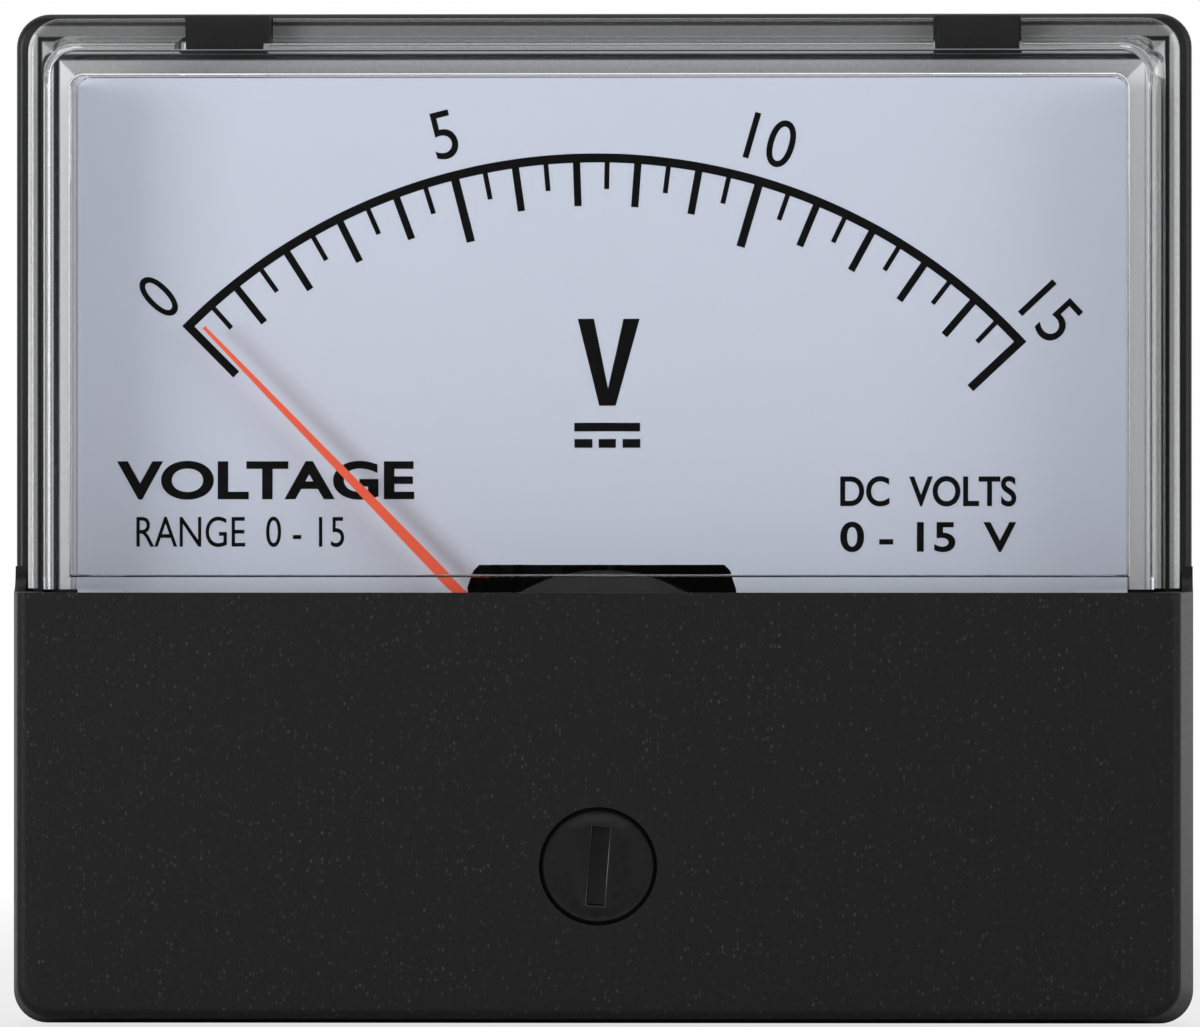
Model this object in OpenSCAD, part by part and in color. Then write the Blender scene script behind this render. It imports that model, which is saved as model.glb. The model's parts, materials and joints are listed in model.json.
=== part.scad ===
// Analog panel meter with a moving-coil movement.
// Every piece is drawn with the meter on its back: x to the right, y up the face, z out of
// the panel. upright() then stands it up, with +Z up and the face looking along -Y.
// The origin is the middle of the barrel, in the plane of the panel.

/* [Front] */
// Width of the front
front_w = 70; // [66:1:90]
// Height of the front
front_h = 60; // [58:1:80]
// Depth of the front, from the panel to the face
front_depth = 16; // [15:0.2:22]
// Corner radius of the base
corner_r = 2; // [1.5:0.25:3]
// Joint between the window and the lower cover, from the middle of the front
split_y = -4.4; // [-6:0.1:-4]
// Radius of the covers' front edges
face_edge_r = 0.6; // [0.4:0.1:1]

/* [Base] */
// Thickness of the flange
flange_t = 2; // [1.5:0.1:2.4]
// Thickness of the rim
rim_t = 1.6; // [1.2:0.1:2]
// Height of the rim round the window
rim_h = 3; // [2.8:0.1:4]
// Height of the rim round the lower cover
lower_rim_h = 4.5; // [4.3:0.1:6]
// Outer radius of the barrel
barrel_r = 26; // [25.5:0.1:27]
// Depth of the barrel behind the panel
barrel_depth = 24; // [22:0.5:36]
// Wall of the barrel
barrel_wall = 1.6; // [1.2:0.1:2]
// Thickness of the back wall
back_wall = 2; // [1.5:0.1:3]
// Distance of the window clips from the middle
clip_x = 22.2; // [12:0.1:24]
// Width of a window clip
clip_w = 5; // [3:0.1:7]

/* [Window] */
// Base rim left showing outside the window's lip, at the sides and the top
lip_setback = [0.75, 0.3]; // [0.2:0.05:1]
// Width of the lip, at the sides and the top
lip_w = [0.8, 1.0]; // [0.6:0.05:1.5]
// Thickness of the lip
lip_t = 1.2; // [0.8:0.1:1.2]
// Thickness of the wall at its foot, at the sides and the top
window_wall = [2.35, 2.65]; // [2:0.05:3]
// Lean of the window's outer walls over their height
window_lean = 0.95; // [0.5:0.05:1.2]
// Thickness of the pane
pane_t = 1.5; // [1:0.1:2]
// Inner corner radius of the window
window_corner_r = 0.9; // [0.5:0.1:1.5]
// Height of the sill under the window
sill_h = 0.7; // [0.5:0.1:1]

/* [Lower cover] */
// Wall of the lower cover
cover_wall = 1.6; // [1.2:0.1:2]
// Lean of its walls over their height, at the sides and the bottom
cover_lean = [0.9, 0.7]; // [0.3:0.05:1.2]
// Depth of the skirt inside the base rim
skirt_h = 1.9; // [1.2:0.1:2.2]
// Thickness of the skirt
skirt_t = 1; // [0.8:0.1:1.2]

/* [Dial] */
// Thickness of the dial plate
dial_t = 0.5; // [0.4:0.1:0.8]
// Face of the dial in front of the panel
dial_z = 6.7; // [6.4:0.1:7.2]
// Lower edge of the dial plate, from the middle of the front
dial_bottom = -22.5; // [-24:0.5:-20]
// Top edge of the opening over the movement, above the pivot
notch_top = 10.25; // [10.1:0.05:11]
// Width of that opening at its top
notch_w = 14.5; // [14:0.1:16]
// Diameter of the dial screws
dial_screw_d = 1.6; // [1.4:0.1:2]

/* [Movement] */
// Pivot below the middle of the front
pivot_drop = 13.05; // [11:0.05:14]
// Height of the yoke and the core
yoke_h = 8; // [6:0.2:10]
// Back of the yoke behind the panel
yoke_back = 5; // [4.6:0.1:5.4]
// Radius of the core magnet
core_r = 5.2; // [4.4:0.1:5.6]
// Radial thickness of the yoke ring
yoke_t = 2.8; // [2.2:0.1:3.2]
// Gap between the core and the coil former
coil_gap = 0.35; // [0.25:0.05:0.5]
// Thickness of the coil former
former_t = 0.25; // [0.2:0.05:0.4]
// Thickness of the winding
winding_t = 0.75; // [0.5:0.05:0.8]
// Width of the coil former
former_w = 3; // [2:0.1:3]
// Thickness of the cast frame on the yoke
frame_t = 1.2; // [1:0.1:1.3]
// Width of the bridges
bridge_w = 3.4; // [3:0.1:3.6]
// Thickness of the bridges
bridge_t = 1.2; // [1:0.1:1.5]
// Radius of the jewel screws
jewel_r = 1.25; // [1:0.05:1.4]
// Distance of the fixing holes from the pivot, sideways
ear_x = 12.5; // [12:0.1:13]
// Pitch between a dial pillar and the movement screw under it
ear_pitch = 7.2; // [7:0.1:8]

/* [Pointer] */
// Length of the pointer from the pivot
pointer_len = 33.75; // [30:0.25:34]
// Rest position, left of upright, in degrees
pointer_zero = 44; // [40:0.5:46]
// Travel from rest to the upper stop, in degrees
pointer_up_travel = 94; // [90:0.5:94]
// Travel from rest to the lower stop, in degrees
pointer_down_travel = 4; // [2:0.5:5]
// Width of the pointer at its root and its tip
pointer_w = [0.64, 0.2]; // [0.2:0.02:0.8]
// Thickness of the pointer
pointer_t = 0.4; // [0.3:0.05:0.5]
// Height of the pointer over the dial
pointer_over_dial = 1.7; // [1.2:0.1:2.5]

/* [Zero adjuster] */
// Adjuster below the pivot
zero_drop = 7.35; // [7:0.05:9]
// Radius of the adjuster's head
zero_r = 3.4; // [3:0.1:4]
// Throw of the eccentric pin
zero_throw = 1.2; // [0.8:0.05:1.3]
// Width of the screwdriver slot
zero_slot_w = 1; // [0.8:0.1:1.2]
// Length of the screwdriver slot
zero_slot_l = 4.6; // [3:0.1:5]
// Turn of the slot, clockwise, in degrees
zero_slot_turn = 4.4; // [0:0.1:90]

/* [Terminals and studs] */
// Distance between the terminals
terminal_pitch = 25; // [20:0.5:30]
// Terminals above the middle of the barrel
terminal_y = 4; // [2:0.5:6]
// Thread radius of a terminal
terminal_r = 2; // [1.5:0.25:2.5]
// Free length of a terminal past its nuts
terminal_free = 6; // [4:0.5:10]
// Distance between the mounting studs, across and up
stud_pitch = [52, 44]; // [43:0.5:58]
// Thread radius of a mounting stud
stud_r = 1.5; // [1.25:0.25:2]
// Length of a mounting stud behind the panel
stud_len = 12; // [8:0.5:20]

/* [Hidden] */
$fn = 64;
eps = 0.01;
far = 200;
fit = 0.1;            // gap between covers, plates and walls
running = 0.05;       // gap of a turning fit

// front
rim_edge_r = 0.4;
edge_steps = 4;
corner_steps = 10;
min_r = 0.3;
draft = 0.05;         // lean of the base rim and the lip over their height
lip_z = rim_h;
lip_top = lip_z + lip_t;
window_foot = lip_setback + lip_w;
window_inner = window_foot + window_wall;
pane_z = front_depth - pane_t;
window_edge_r = 0.5;
spigot_h = 0.8;       // part of the window's wall that locates inside the rim
split_gap = 0.2;      // seam between the window and the lower cover
window_bottom = split_y + split_gap;
sill_depth = 4.8;
tongue_t = 1;
tongue_h = 2.2;
tongue_side = 3.2;    // tongue set in from the window's inner wall
cover_inner_z = front_depth - cover_wall;
tongue_z = cover_inner_z - fit - tongue_t;
clip_stem_t = 1.2;
clip_head_h = 1.2;
clip_slope_h = 1.1;
clip_nose = 0.5;
clip_root = 0.5;
notch_wall = 1.35;    // wall left between a clip and the window's room
bead_r = 0.3;
bead_len = 14;

// barrel
barrel_in_r = barrel_r - barrel_wall;
barrel_edge_r = 0.8;
back_z = -barrel_depth;
inner_back_z = back_z + back_wall;

// yoke, core and coil
yoke_z0 = -yoke_back;
yoke_z1 = yoke_z0 + yoke_h;
former_in = core_r + coil_gap;
former_out = former_in + former_t;
winding_out = former_out + winding_t;
winding_side = 0.2;
end_gap = 0.6;
coil_sweep_r = sqrt(pow(winding_out, 2) + pow(former_w / 2, 2));
yoke_in_r = coil_sweep_r + 0.4;
yoke_r = yoke_in_r + yoke_t;
coil_z1 = yoke_z1 + end_gap + former_t + winding_t;
coil_z0 = yoke_z0 - end_gap - former_t - winding_t;
web_half = 1.8;
key_w = 1.6;
key_depth = 0.5;
frame_z = yoke_z1 + frame_t;
pillar_w = 2;
pillar_x = yoke_r - pillar_w / 2;
ear_r = 2.7;
ear_inset = 0.3;
pillar_up = ear_pitch / 2;
ear_dx = ear_x + (yoke_r - 9.9);

// axial stack, front
hub_t = 0.4;
hub_r = 1.6;
collet_r = 0.8;
needle_r = 0.25;
needle_tip = 0.3;
arm_z = coil_z1 + hub_t;
front_collet_h = 2.2;
rear_collet_h = 1.6;
needle_len = 0.7;
spring_h = 0.5;
spring_t = 0.12;
spring_r = 4.1;
spring_turns = 3.25;
front_spring_z = arm_z + front_collet_h - spring_h - 0.3;
front_tip_z = arm_z + front_collet_h + needle_len + needle_tip;
cup_depth = 0.6;
cup_entry = 0.4;
front_cup_z = front_tip_z - cup_entry;
front_bridge_z = front_cup_z + 0.8;
bridge_boss_r = 2;
bridge_boss_h = 0.7;
lever_gap = 0.1;
lever_t = 0.4;
lever_z = front_bridge_z + bridge_t + lever_gap;
front_nut_z = front_bridge_z + bridge_t + bridge_boss_h;
locknut_t = 1;
locknut_r = 2.3;
jewel_slot_w = 0.5;
jewel_slot_d = 0.6;
jewel_stick_out = 0.5;

// axial stack, rear
rear_hub_z = coil_z0 - hub_t;
rear_spring_z = rear_hub_z - rear_collet_h + 0.3;
rear_tip_z = rear_hub_z - rear_collet_h - needle_len - needle_tip;
rear_cup_z = rear_tip_z + cup_entry;
rear_bridge_z = rear_cup_z - 0.9;
rear_arm_z = rear_bridge_z - bridge_t - lever_t;

// dial and stops
dial_back_z = dial_z - dial_t;
dial_half_w = front_w / 2 - window_inner[0] - fit;
dial_top = front_h / 2 - window_inner[1] - fit;
dial_corner_r = 0.6;
notch_flare = 0.35;
dial_pillar_r = 1.9;
dial_screw_r = dial_screw_d / 2;
dial_screw_head_r = 1.8;
dial_screw_head_h = 1.1;
pillar_stud_r = 1;
pillar_stud_len = 4;
pointer_z = dial_z + pointer_over_dial;
crank_start = 5;
crank_end = 9;
stop_dist = 11.5;
stop_pin_r = 0.4;
stop_sleeve_r = 0.7;
stop_h = 2.6;
stop_rivet_r = 0.8;
stop_rivet_h = 0.4;
stop_half_angle = asin((pointer_w[0] / 2 + stop_sleeve_r + fit) / stop_dist);
stop_angles = [pointer_zero + pointer_down_travel + stop_half_angle,
    pointer_zero - pointer_up_travel - stop_half_angle];

// balance arms
tail_len = 7;
tail_weight_r = 0.75;
tail_weight_l = 3.8;
side_arm_len = 3.3;
side_weight_r = 0.45;
side_weight_l = 1;
arm_w = 0.5;

// zero adjuster and lever
zero_y = -pivot_drop - zero_drop;
zero_fit = 0.06;
zero_flange_r = zero_r + 0.9;
zero_flange_t = 1.4;
zero_flange_z = cover_inner_z - fit - zero_flange_t;
zero_boss_t = 1;
zero_boss_z = zero_flange_z - 1.2;
zero_ring_t = 1;
zero_ring_in = 2.8;
zero_pin_r = 0.6;
zero_dish = 0.18;
lever_ring_r = 3.2;
lever_reach = zero_drop + zero_throw;
lever_arm_w = 1.6;
fork_slack = 0.1;
fork_prong_w = 0.8;
fork_w = 2 * (zero_pin_r + fork_slack + fork_prong_w);
fork_l = 3;
fork_end = 1.2;       // fork past the pin's middle
lever_tail = [4.4, 6.6];  // width and length of the tail that balances the fork
tab_r = 4.1;
tab_t = 0.3;
tab_w = 0.8;

// screws
bridge_screw_r = 0.8;
bridge_head_r = 1.5;
bridge_head_h = 0.9;
bridge_screw_l = 4;
frame_screw_angle = 45;
movement_screw_r = 1.25;
movement_head_r = 2.2;
movement_head_h = 1.5;
movement_screw_l = yoke_h + 6;
post_r = 3;
post_rib_t = 1.4;
post_rib_drop = 2;    // rib's top below the top of its post
driver_slot_w = 0.5;
driver_slot_d = 0.5;

// terminals and studs
boss_r = 3;
lower_boss_h = 5;
stud_root_r = stud_r + 0.25;  // plain root, moulded into the base
stud_head_r = stud_root_r + 0.55;
stud_head_t = 1.5;
stud_tip = 0.4;
pad_r = 5.6;
pad_t = 0.6;
pad_z = back_z - pad_t;
washer_r = 4.5;
washer_t = 0.8;
nut_flats = 7;
nut_t = 3.2;
thread_depth = 0.23;  // crest to pitch line, where the nuts sit
terminal_core_r = terminal_r - thread_depth;
terminal_hole_r = terminal_r + 0.1;
lug_t = 0.4;
lug_r = 3.8;
lug_w = 2.4;
lug_len = 8;
lug_hole_r = 0.6;
terminal_head_t = 2;
outer_washer_z = pad_z - washer_t - nut_t;
terminal_end_z = outer_washer_z - washer_t - nut_t - terminal_free;
wire_r = 0.4;
resistor_lead_r = 0.3;
resistor_r = 1.25;
resistor_l = 6.5;
resistor_waist = 0.15;
resistor_cap_l = 1.6;
resistor_z = inner_back_z + 5;

module upright() rotate([90, 0, 0]) children();

module at_pivot() translate([0, -pivot_drop, 0]) children();

module mirror_x() {
    children();
    mirror([1, 0, 0]) children();
}

module rounded_rect(w, h, r) {
    square([w - 2 * r, h], center = true);
    square([w, h - 2 * r], center = true);
    for (sx = [-1, 1], sy = [-1, 1])
        translate([sx * (w / 2 - r), sy * (h / 2 - r)]) circle(r);
}

// Rounded plate of the front's outline, drawn in by inset = [sides, top and bottom]
module front_plate(inset, z, h, r)
    translate([0, 0, z])
        linear_extrude(h) rounded_rect(front_w - 2 * inset[0], front_h - 2 * inset[1], r);

// Thin layer of a moulded form: the front's outline drawn in by inset, as one outline of points
module form_layer(inset, z, r) {
    half = [front_w / 2 - inset[0] - r, front_h / 2 - inset[1] - r];
    translate([0, 0, z])
        linear_extrude(eps)
            polygon([for (corner = [0 : 3], i = [0 : corner_steps])
                let (side = [[1, 1], [-1, 1], [-1, -1], [1, -1]][corner])
                let (a = 90 * (corner + i / corner_steps))
                    [side[0] * half[0] + r * cos(a), side[1] * half[1] + r * sin(a)]]);
}

// Moulded form that leans in from z0 to z1 and ends in a rounded edge
module leaning_form(inset, lean, z0, z1, r, edge_r)
    hull() {
        form_layer(inset, z0, r);
        for (a = [0 : 90 / edge_steps : 90])
            let (in_by = edge_r * (1 - cos(a)), z = z1 - edge_r * (1 - sin(a)) - eps)
                form_layer(inset + lean + [in_by, in_by], z, max(r - in_by, min_r));
    }

module above(y) translate([-far / 2, y, -far / 2]) cube(far);

module below(y) translate([-far / 2, y - far, -far / 2]) cube(far);

module ring(r_out, r_in, h)
    difference() {
        cylinder(r = r_out, h = h);
        translate([0, 0, -eps]) cylinder(r = r_in, h = h + 2 * eps);
    }

// Straight tube of round section through a list of points
module wire(points, r) {
    for (i = [0 : len(points) - 2]) {
        span = points[i + 1] - points[i];
        length = norm(span);
        translate(points[i])
            rotate([0, acos(span[2] / length), atan2(span[1], span[0])])
                cylinder(r = r, h = length, $fn = 24);
    }
    for (i = [1 : len(points) - 2]) translate(points[i]) sphere(r * 1.03, $fn = 24);
}

// Cheese-head screw seen from above: head on z = 0, shank down
module screw(r, l, head_r, head_h) {
    difference() {
        cylinder(r = head_r, h = head_h);
        translate([-head_r - eps, -driver_slot_w / 2, head_h - driver_slot_d])
            cube([2 * head_r + 2 * eps, driver_slot_w, head_h]);
    }
    translate([0, 0, -l]) cylinder(r = r, h = l + eps);
}

// Flat spiral strip from r0 out to r1
module spiral(r0, r1, turns, t, h) {
    steps = 24 * turns;
    mid = [for (i = [0 : steps]) [r0 + t / 2 + (r1 - r0 - t) * i / steps, 360 * turns * i / steps]];
    outer = [for (p = mid) (p[0] + t / 2) * [cos(p[1]), sin(p[1])]];
    inner = [for (i = [len(mid) - 1 : -1 : 0]) (mid[i][0] - t / 2) * [cos(mid[i][1]), sin(mid[i][1])]];
    linear_extrude(h) polygon(concat(outer, inner));
}

module stud_places()
    for (sx = [-1, 1], sy = [-1, 1])
        translate([sx * stud_pitch[0] / 2, sy * stud_pitch[1] / 2, 0]) children();

module terminal_places()
    for (sx = [-1, 1]) translate([sx * terminal_pitch / 2, terminal_y, 0]) children();

module movement_screw_places()
    for (sx = [-1, 1]) translate([sx * ear_dx, -pivot_drop - pillar_up, 0]) children();

module dial_pillar_places()
    for (sx = [-1, 1]) translate([sx * ear_dx, -pivot_drop + pillar_up, 0]) children();

// ---- housing ----

// Step of the base rim up to the lower cover, with a hollow curve
module rim_step() {
    step = lower_rim_h - rim_h;
    width = lip_setback[0] - fit;
    mirror_x()
        translate([front_w / 2 - width, split_y, rim_h - eps])
            difference() {
                cube([width, step, step + eps]);
                translate([-eps, step, step + eps])
                    rotate([0, 90, 0]) cylinder(r = step, h = width + 2 * eps);
            }
}

module clip() {
    y_out = front_h / 2 - lip_setback[1];
    y_in = y_out - clip_stem_t;
    y_head = window_top() + notch_wall + fit;
    z_head = lip_top + fit;
    z_nose = z_head + clip_head_h + clip_slope_h;
    translate([-clip_w / 2, 0, 0])
        rotate([90, 0, 90])
            linear_extrude(clip_w)
                polygon([[y_in, rim_h - clip_root], [y_out, rim_h - clip_root], [y_out, z_nose],
                    [y_out - clip_nose, z_nose], [y_head, z_head + clip_head_h], [y_head, z_head],
                    [y_in, z_head]]);
}

module base()
    color([0.07, 0.07, 0.075]) upright() {
        difference() {
            union() {
                leaning_form([0, 0], [draft, draft], 0, rim_h, corner_r, rim_edge_r);
                intersection() {
                    front_plate([0, 0], 0, lower_rim_h, corner_r);
                    below(split_y);
                }
                rim_step();
                barrel();
            }
            difference() {
                front_plate([rim_t, rim_t], flange_t, far, corner_r - 0.5);
                for (sx = [-1, 1])
                    translate([sx * clip_x - clip_w / 2, front_h / 2 - lip_setback[1] - clip_stem_t, 0])
                        cube([clip_w, 5, rim_h]);
            }
            translate([0, 0, inner_back_z]) cylinder(r = barrel_in_r, h = far);
            stud_places() translate([0, 0, -eps]) cylinder(r = stud_root_r, h = lower_rim_h);
            terminal_places() translate([0, 0, back_z - 2]) cylinder(r = terminal_hole_r, h = 8);
            translate([-bead_len / 2 - fit, -front_h / 2 + rim_t + fit, bead_z()])
                rotate([0, 90, 0]) cylinder(r = bead_r + fit, h = bead_len + 2 * fit);
        }
        stud_bosses();
        movement_posts();
        for (sx = [-1, 1]) translate([sx * clip_x, 0, 0]) clip();
    }

function bead_z() = lower_rim_h - skirt_h + 0.6;

// Barrel and back wall, with a rounded rear edge and a raised pad under each terminal
module barrel() {
    rotate_extrude()
        difference() {
            union() {
                translate([0, back_z]) square([barrel_r - barrel_edge_r, barrel_depth + flange_t]);
                translate([0, back_z + barrel_edge_r])
                    square([barrel_r, barrel_depth + flange_t - barrel_edge_r]);
                translate([barrel_r - barrel_edge_r, back_z + barrel_edge_r]) circle(barrel_edge_r);
            }
            translate([-far, -far / 2]) square([far, far]);
        }
    terminal_places() translate([0, 0, pad_z]) cylinder(r = pad_r, h = pad_t + eps);
}

// Bosses round the moulded-in studs; the upper two also carry the dial plate
module stud_bosses()
    for (sy = [-1, 1]) {
        top = sy > 0 ? dial_back_z : lower_boss_h;
        for (sx = [-1, 1])
            translate([sx * stud_pitch[0] / 2, sy * stud_pitch[1] / 2, 0])
                difference() {
                    cylinder(r = boss_r, h = top);
                    translate([0, 0, -eps]) cylinder(r = stud_root_r, h = top + 2 * eps);
                    translate([0, 0, lower_boss_h - stud_head_t])
                        cylinder(r = stud_head_r, h = top);
                }
    }

// Posts that carry the movement, each tied to the barrel by a rib
module movement_posts()
    difference() {
        union() {
            movement_screw_places()
                translate([0, 0, inner_back_z - eps]) cylinder(r = post_r, h = yoke_z0 - inner_back_z + eps);
            mirror_x()
                intersection() {
                    translate([ear_dx, -pivot_drop - pillar_up - post_rib_t / 2, inner_back_z - eps])
                        cube([far, post_rib_t, yoke_z0 - inner_back_z - post_rib_drop]);
                    translate([0, 0, back_z]) cylinder(r = barrel_in_r + eps, h = far);
                }
        }
        movement_screw_places()
            translate([0, 0, yoke_z1 - movement_screw_l])
                cylinder(r = movement_screw_r, h = movement_screw_l);
    }

module window_cover()
    color([0.85, 0.9, 0.92, 0.35]) upright()
        difference() {
            union() {
                intersection() {
                    union() {
                        leaning_form(window_foot, [window_lean, window_lean], lip_z, front_depth,
                            corner_r - 0.2, window_edge_r);
                        leaning_form(lip_setback, [draft, draft], lip_z, lip_top, corner_r, rim_edge_r);
                        front_plate([rim_t + fit, rim_t + fit], lip_z - spigot_h, spigot_h + eps,
                            corner_r - 0.5);
                    }
                    difference() {
                        above(window_bottom);
                        window_room();
                    }
                }
                translate([-window_half(), window_bottom, front_depth - sill_depth])
                    cube([2 * window_half(), sill_h, sill_depth - face_edge_r]);
                translate([-window_half() + tongue_side, window_bottom - tongue_h, tongue_z])
                    cube([2 * (window_half() - tongue_side), tongue_h + sill_h, tongue_t]);
            }
            clip_notches();
        }

function window_half() = front_w / 2 - window_inner[0];

function window_top() = front_h / 2 - window_inner[1];

// Room inside the window, open at the bottom and the back
module window_room()
    translate([0, window_top() - far / 2, -far + pane_z])
        linear_extrude(far) rounded_rect(2 * window_half(), far, window_corner_r);

module clip_notches()
    for (sx = [-1, 1])
        translate([sx * clip_x - clip_w / 2 - fit, 0, 0]) {
            width = clip_w + 2 * fit;
            translate([0, window_top() + notch_wall, lip_top]) cube([width, far, far]);
            translate([0, front_h / 2 - lip_setback[1] - clip_stem_t - fit, 0]) cube([width, far, far]);
        }

// Lower cover with the adjuster's boss, a locating skirt and a snap bead
module lower_cover()
    color([0.13, 0.13, 0.13]) upright() {
        difference() {
            union() {
                difference() {
                    intersection() {
                        leaning_form([0, 0], cover_lean, lower_rim_h, front_depth, corner_r, face_edge_r);
                        below(split_y);
                    }
                    leaning_form([cover_wall, cover_wall], cover_lean, lower_rim_h - 1, cover_inner_z,
                        corner_r - 0.8, 0.4);
                }
                translate([0, zero_y, zero_boss_z])
                    cylinder(r = zero_flange_r + fit + zero_boss_t, h = cover_inner_z - zero_boss_z + 0.2);
            }
            translate([0, zero_y, 0]) {
                cylinder(r = zero_r + zero_fit, h = far);
                translate([0, 0, zero_boss_z - 1])
                    cylinder(r = zero_flange_r + fit, h = cover_inner_z - zero_boss_z + 1);
            }
        }
        intersection() {
            union() {
                skirt(rim_t + fit, lower_rim_h - skirt_h, lower_rim_h + 1.5);
                skirt(rim_t - 0.6, lower_rim_h, lower_rim_h + 1.5);
                translate([-bead_len / 2, -front_h / 2 + rim_t + fit, bead_z()])
                    rotate([0, 90, 0]) cylinder(r = bead_r, h = bead_len);
            }
            below(split_y - 1.2);
        }
    }

module skirt(inset, z0, z1)
    difference() {
        front_plate([inset, inset], z0, z1 - z0, corner_r - 0.5);
        front_plate([rim_t + fit + skirt_t, rim_t + fit + skirt_t], z0 - 1, z1 - z0 + 2, corner_r - 1.2);
    }

module mounting_studs()
    color([0.72, 0.7, 0.66]) upright()
        stud_places() {
            translate([0, 0, -stud_len + stud_tip]) cylinder(r = stud_r, h = stud_len - stud_tip);
            cylinder(r = stud_root_r, h = lower_boss_h - stud_head_t + eps);
            translate([0, 0, -stud_len]) cylinder(r1 = stud_r - stud_tip, r2 = stud_r, h = stud_tip);
            translate([0, 0, lower_boss_h - stud_head_t]) cylinder(r = stud_head_r, h = stud_head_t);
        }

// ---- dial ----

// Opening in the dial plate over the movement, with sloping shoulders
module dial_notch() {
    y = notch_top - pivot_drop;
    half = notch_w / 2;
    polygon([[-half, y], [half, y], [half + notch_flare, y - notch_flare],
        [half + 2 * notch_flare, y - 4 * notch_flare], [half + 2 * notch_flare, -far],
        [-half - 2 * notch_flare, -far], [-half - 2 * notch_flare, y - 4 * notch_flare],
        [-half - notch_flare, y - notch_flare]]);
    translate([-yoke_r - 0.4, -far - pivot_drop + bridge_w / 2 + 0.8]) square([2 * (yoke_r + 0.4), far]);
}

module dial_plate()
    color([0.76, 0.8, 0.85]) upright()
        translate([0, 0, dial_back_z])
            difference() {
                linear_extrude(dial_t)
                    difference() {
                        translate([0, (dial_top + dial_bottom) / 2])
                            rounded_rect(2 * dial_half_w, dial_top - dial_bottom, dial_corner_r);
                        dial_notch();
                    }
                dial_pillar_places() translate([0, 0, -1]) cylinder(r = dial_screw_r + fit, h = 2);
                stop_places() translate([0, 0, -1]) cylinder(r = stop_pin_r, h = 2);
            }

module stop_places()
    for (a = stop_angles)
        at_pivot() rotate([0, 0, a]) translate([0, stop_dist, 0]) children();

module stop_pins()
    color([0.8, 0.66, 0.35]) upright()
        stop_places() {
            translate([0, 0, dial_back_z - stop_rivet_h]) cylinder(r = stop_rivet_r, h = stop_rivet_h);
            translate([0, 0, dial_back_z - eps]) cylinder(r = stop_pin_r, h = dial_t + stop_h);
        }

module stop_sleeves()
    color([0.1, 0.1, 0.1]) upright()
        stop_places() translate([0, 0, dial_z]) ring(stop_sleeve_r, stop_pin_r, stop_h - 0.3);

module dial_pillars()
    color([0.8, 0.66, 0.35]) upright()
        dial_pillar_places() translate([0, 0, yoke_z1])
            difference() {
                union() {
                    cylinder(r = dial_pillar_r, h = dial_back_z - yoke_z1);
                    translate([0, 0, -pillar_stud_len])
                        cylinder(r = pillar_stud_r, h = pillar_stud_len + eps);
                }
                translate([0, 0, 0.2]) cylinder(r = dial_screw_r, h = dial_back_z - yoke_z1);
            }

module dial_screws()
    color([0.75, 0.75, 0.73]) upright()
        dial_pillar_places() translate([0, 0, dial_z])
            screw(dial_screw_r, dial_z - yoke_z1 - 0.3, dial_screw_head_r, dial_screw_head_h);

// ---- magnet system ----

// Soft-iron yoke ring with an ear on each side
module yoke()
    color([0.3, 0.3, 0.32]) upright() at_pivot()
        translate([0, 0, yoke_z0])
            difference() {
                linear_extrude(yoke_h)
                    difference() {
                        union() {
                            circle(yoke_r);
                            mirror_x() ear();
                        }
                        circle(yoke_in_r);
                    }
                for (sx = [-1, 1]) {
                    translate([sx * ear_dx, -pillar_up, -1])
                        cylinder(r = movement_screw_r + fit, h = yoke_h + 2);
                    translate([sx * ear_dx, pillar_up, yoke_h - pillar_stud_len])
                        cylinder(r = pillar_stud_r, h = yoke_h);
                    translate([sx * pillar_x, 0, -1]) cylinder(r = bridge_screw_r, h = bridge_screw_l);
                }
                frame_screw_places() translate([0, 0, yoke_h - bridge_screw_l])
                    cylinder(r = bridge_screw_r, h = bridge_screw_l + 1);
            }

module ear() {
    for (sy = [-1, 1]) translate([ear_dx, sy * pillar_up]) circle(ear_r);
    translate([ear_dx, -pillar_up]) square([ear_r, 2 * pillar_up]);
    translate([yoke_in_r + ear_inset, -pillar_up - ear_r])
        square([ear_dx - yoke_in_r - ear_inset, 2 * (pillar_up + ear_r)]);
}

module frame_screw_places()
    for (turn = [0, 180])
        rotate([0, 0, frame_screw_angle + turn]) translate([(yoke_in_r + yoke_r) / 2, 0, 0]) children();

// Cylindrical magnet, with a keyway at the top and the bottom for the frame's webs
module core_magnet()
    color([0.42, 0.42, 0.44]) upright() at_pivot()
        translate([0, 0, yoke_z0])
            difference() {
                cylinder(r = core_r, h = yoke_h);
                for (sy = [-1, 1])
                    translate([-key_w / 2, sy * core_r - key_depth, -1])
                        cube([key_w, 2 * key_depth, yoke_h + 2]);
            }

// Die-cast frame: a flat ring on the yoke, two webs through the gap and two pillars
module core_frame()
    color([0.66, 0.66, 0.68]) upright() at_pivot()
        difference() {
            union() {
                translate([0, 0, yoke_z1]) ring(yoke_r, yoke_in_r, frame_t);
                for (turn = [0, 180]) rotate([0, 0, turn]) web();
                mirror_x()
                    intersection() {
                        translate([yoke_r - pillar_w, -bridge_w / 2, yoke_z1])
                            cube([pillar_w, bridge_w, front_bridge_z - yoke_z1]);
                        cylinder(r = yoke_r, h = far);
                    }
            }
            frame_screw_places() cylinder(r = bridge_screw_r + fit, h = far);
            for (sx = [-1, 1])
                translate([sx * pillar_x, 0, front_bridge_z - bridge_screw_l + bridge_t])
                    cylinder(r = bridge_screw_r, h = far);
        }

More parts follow.
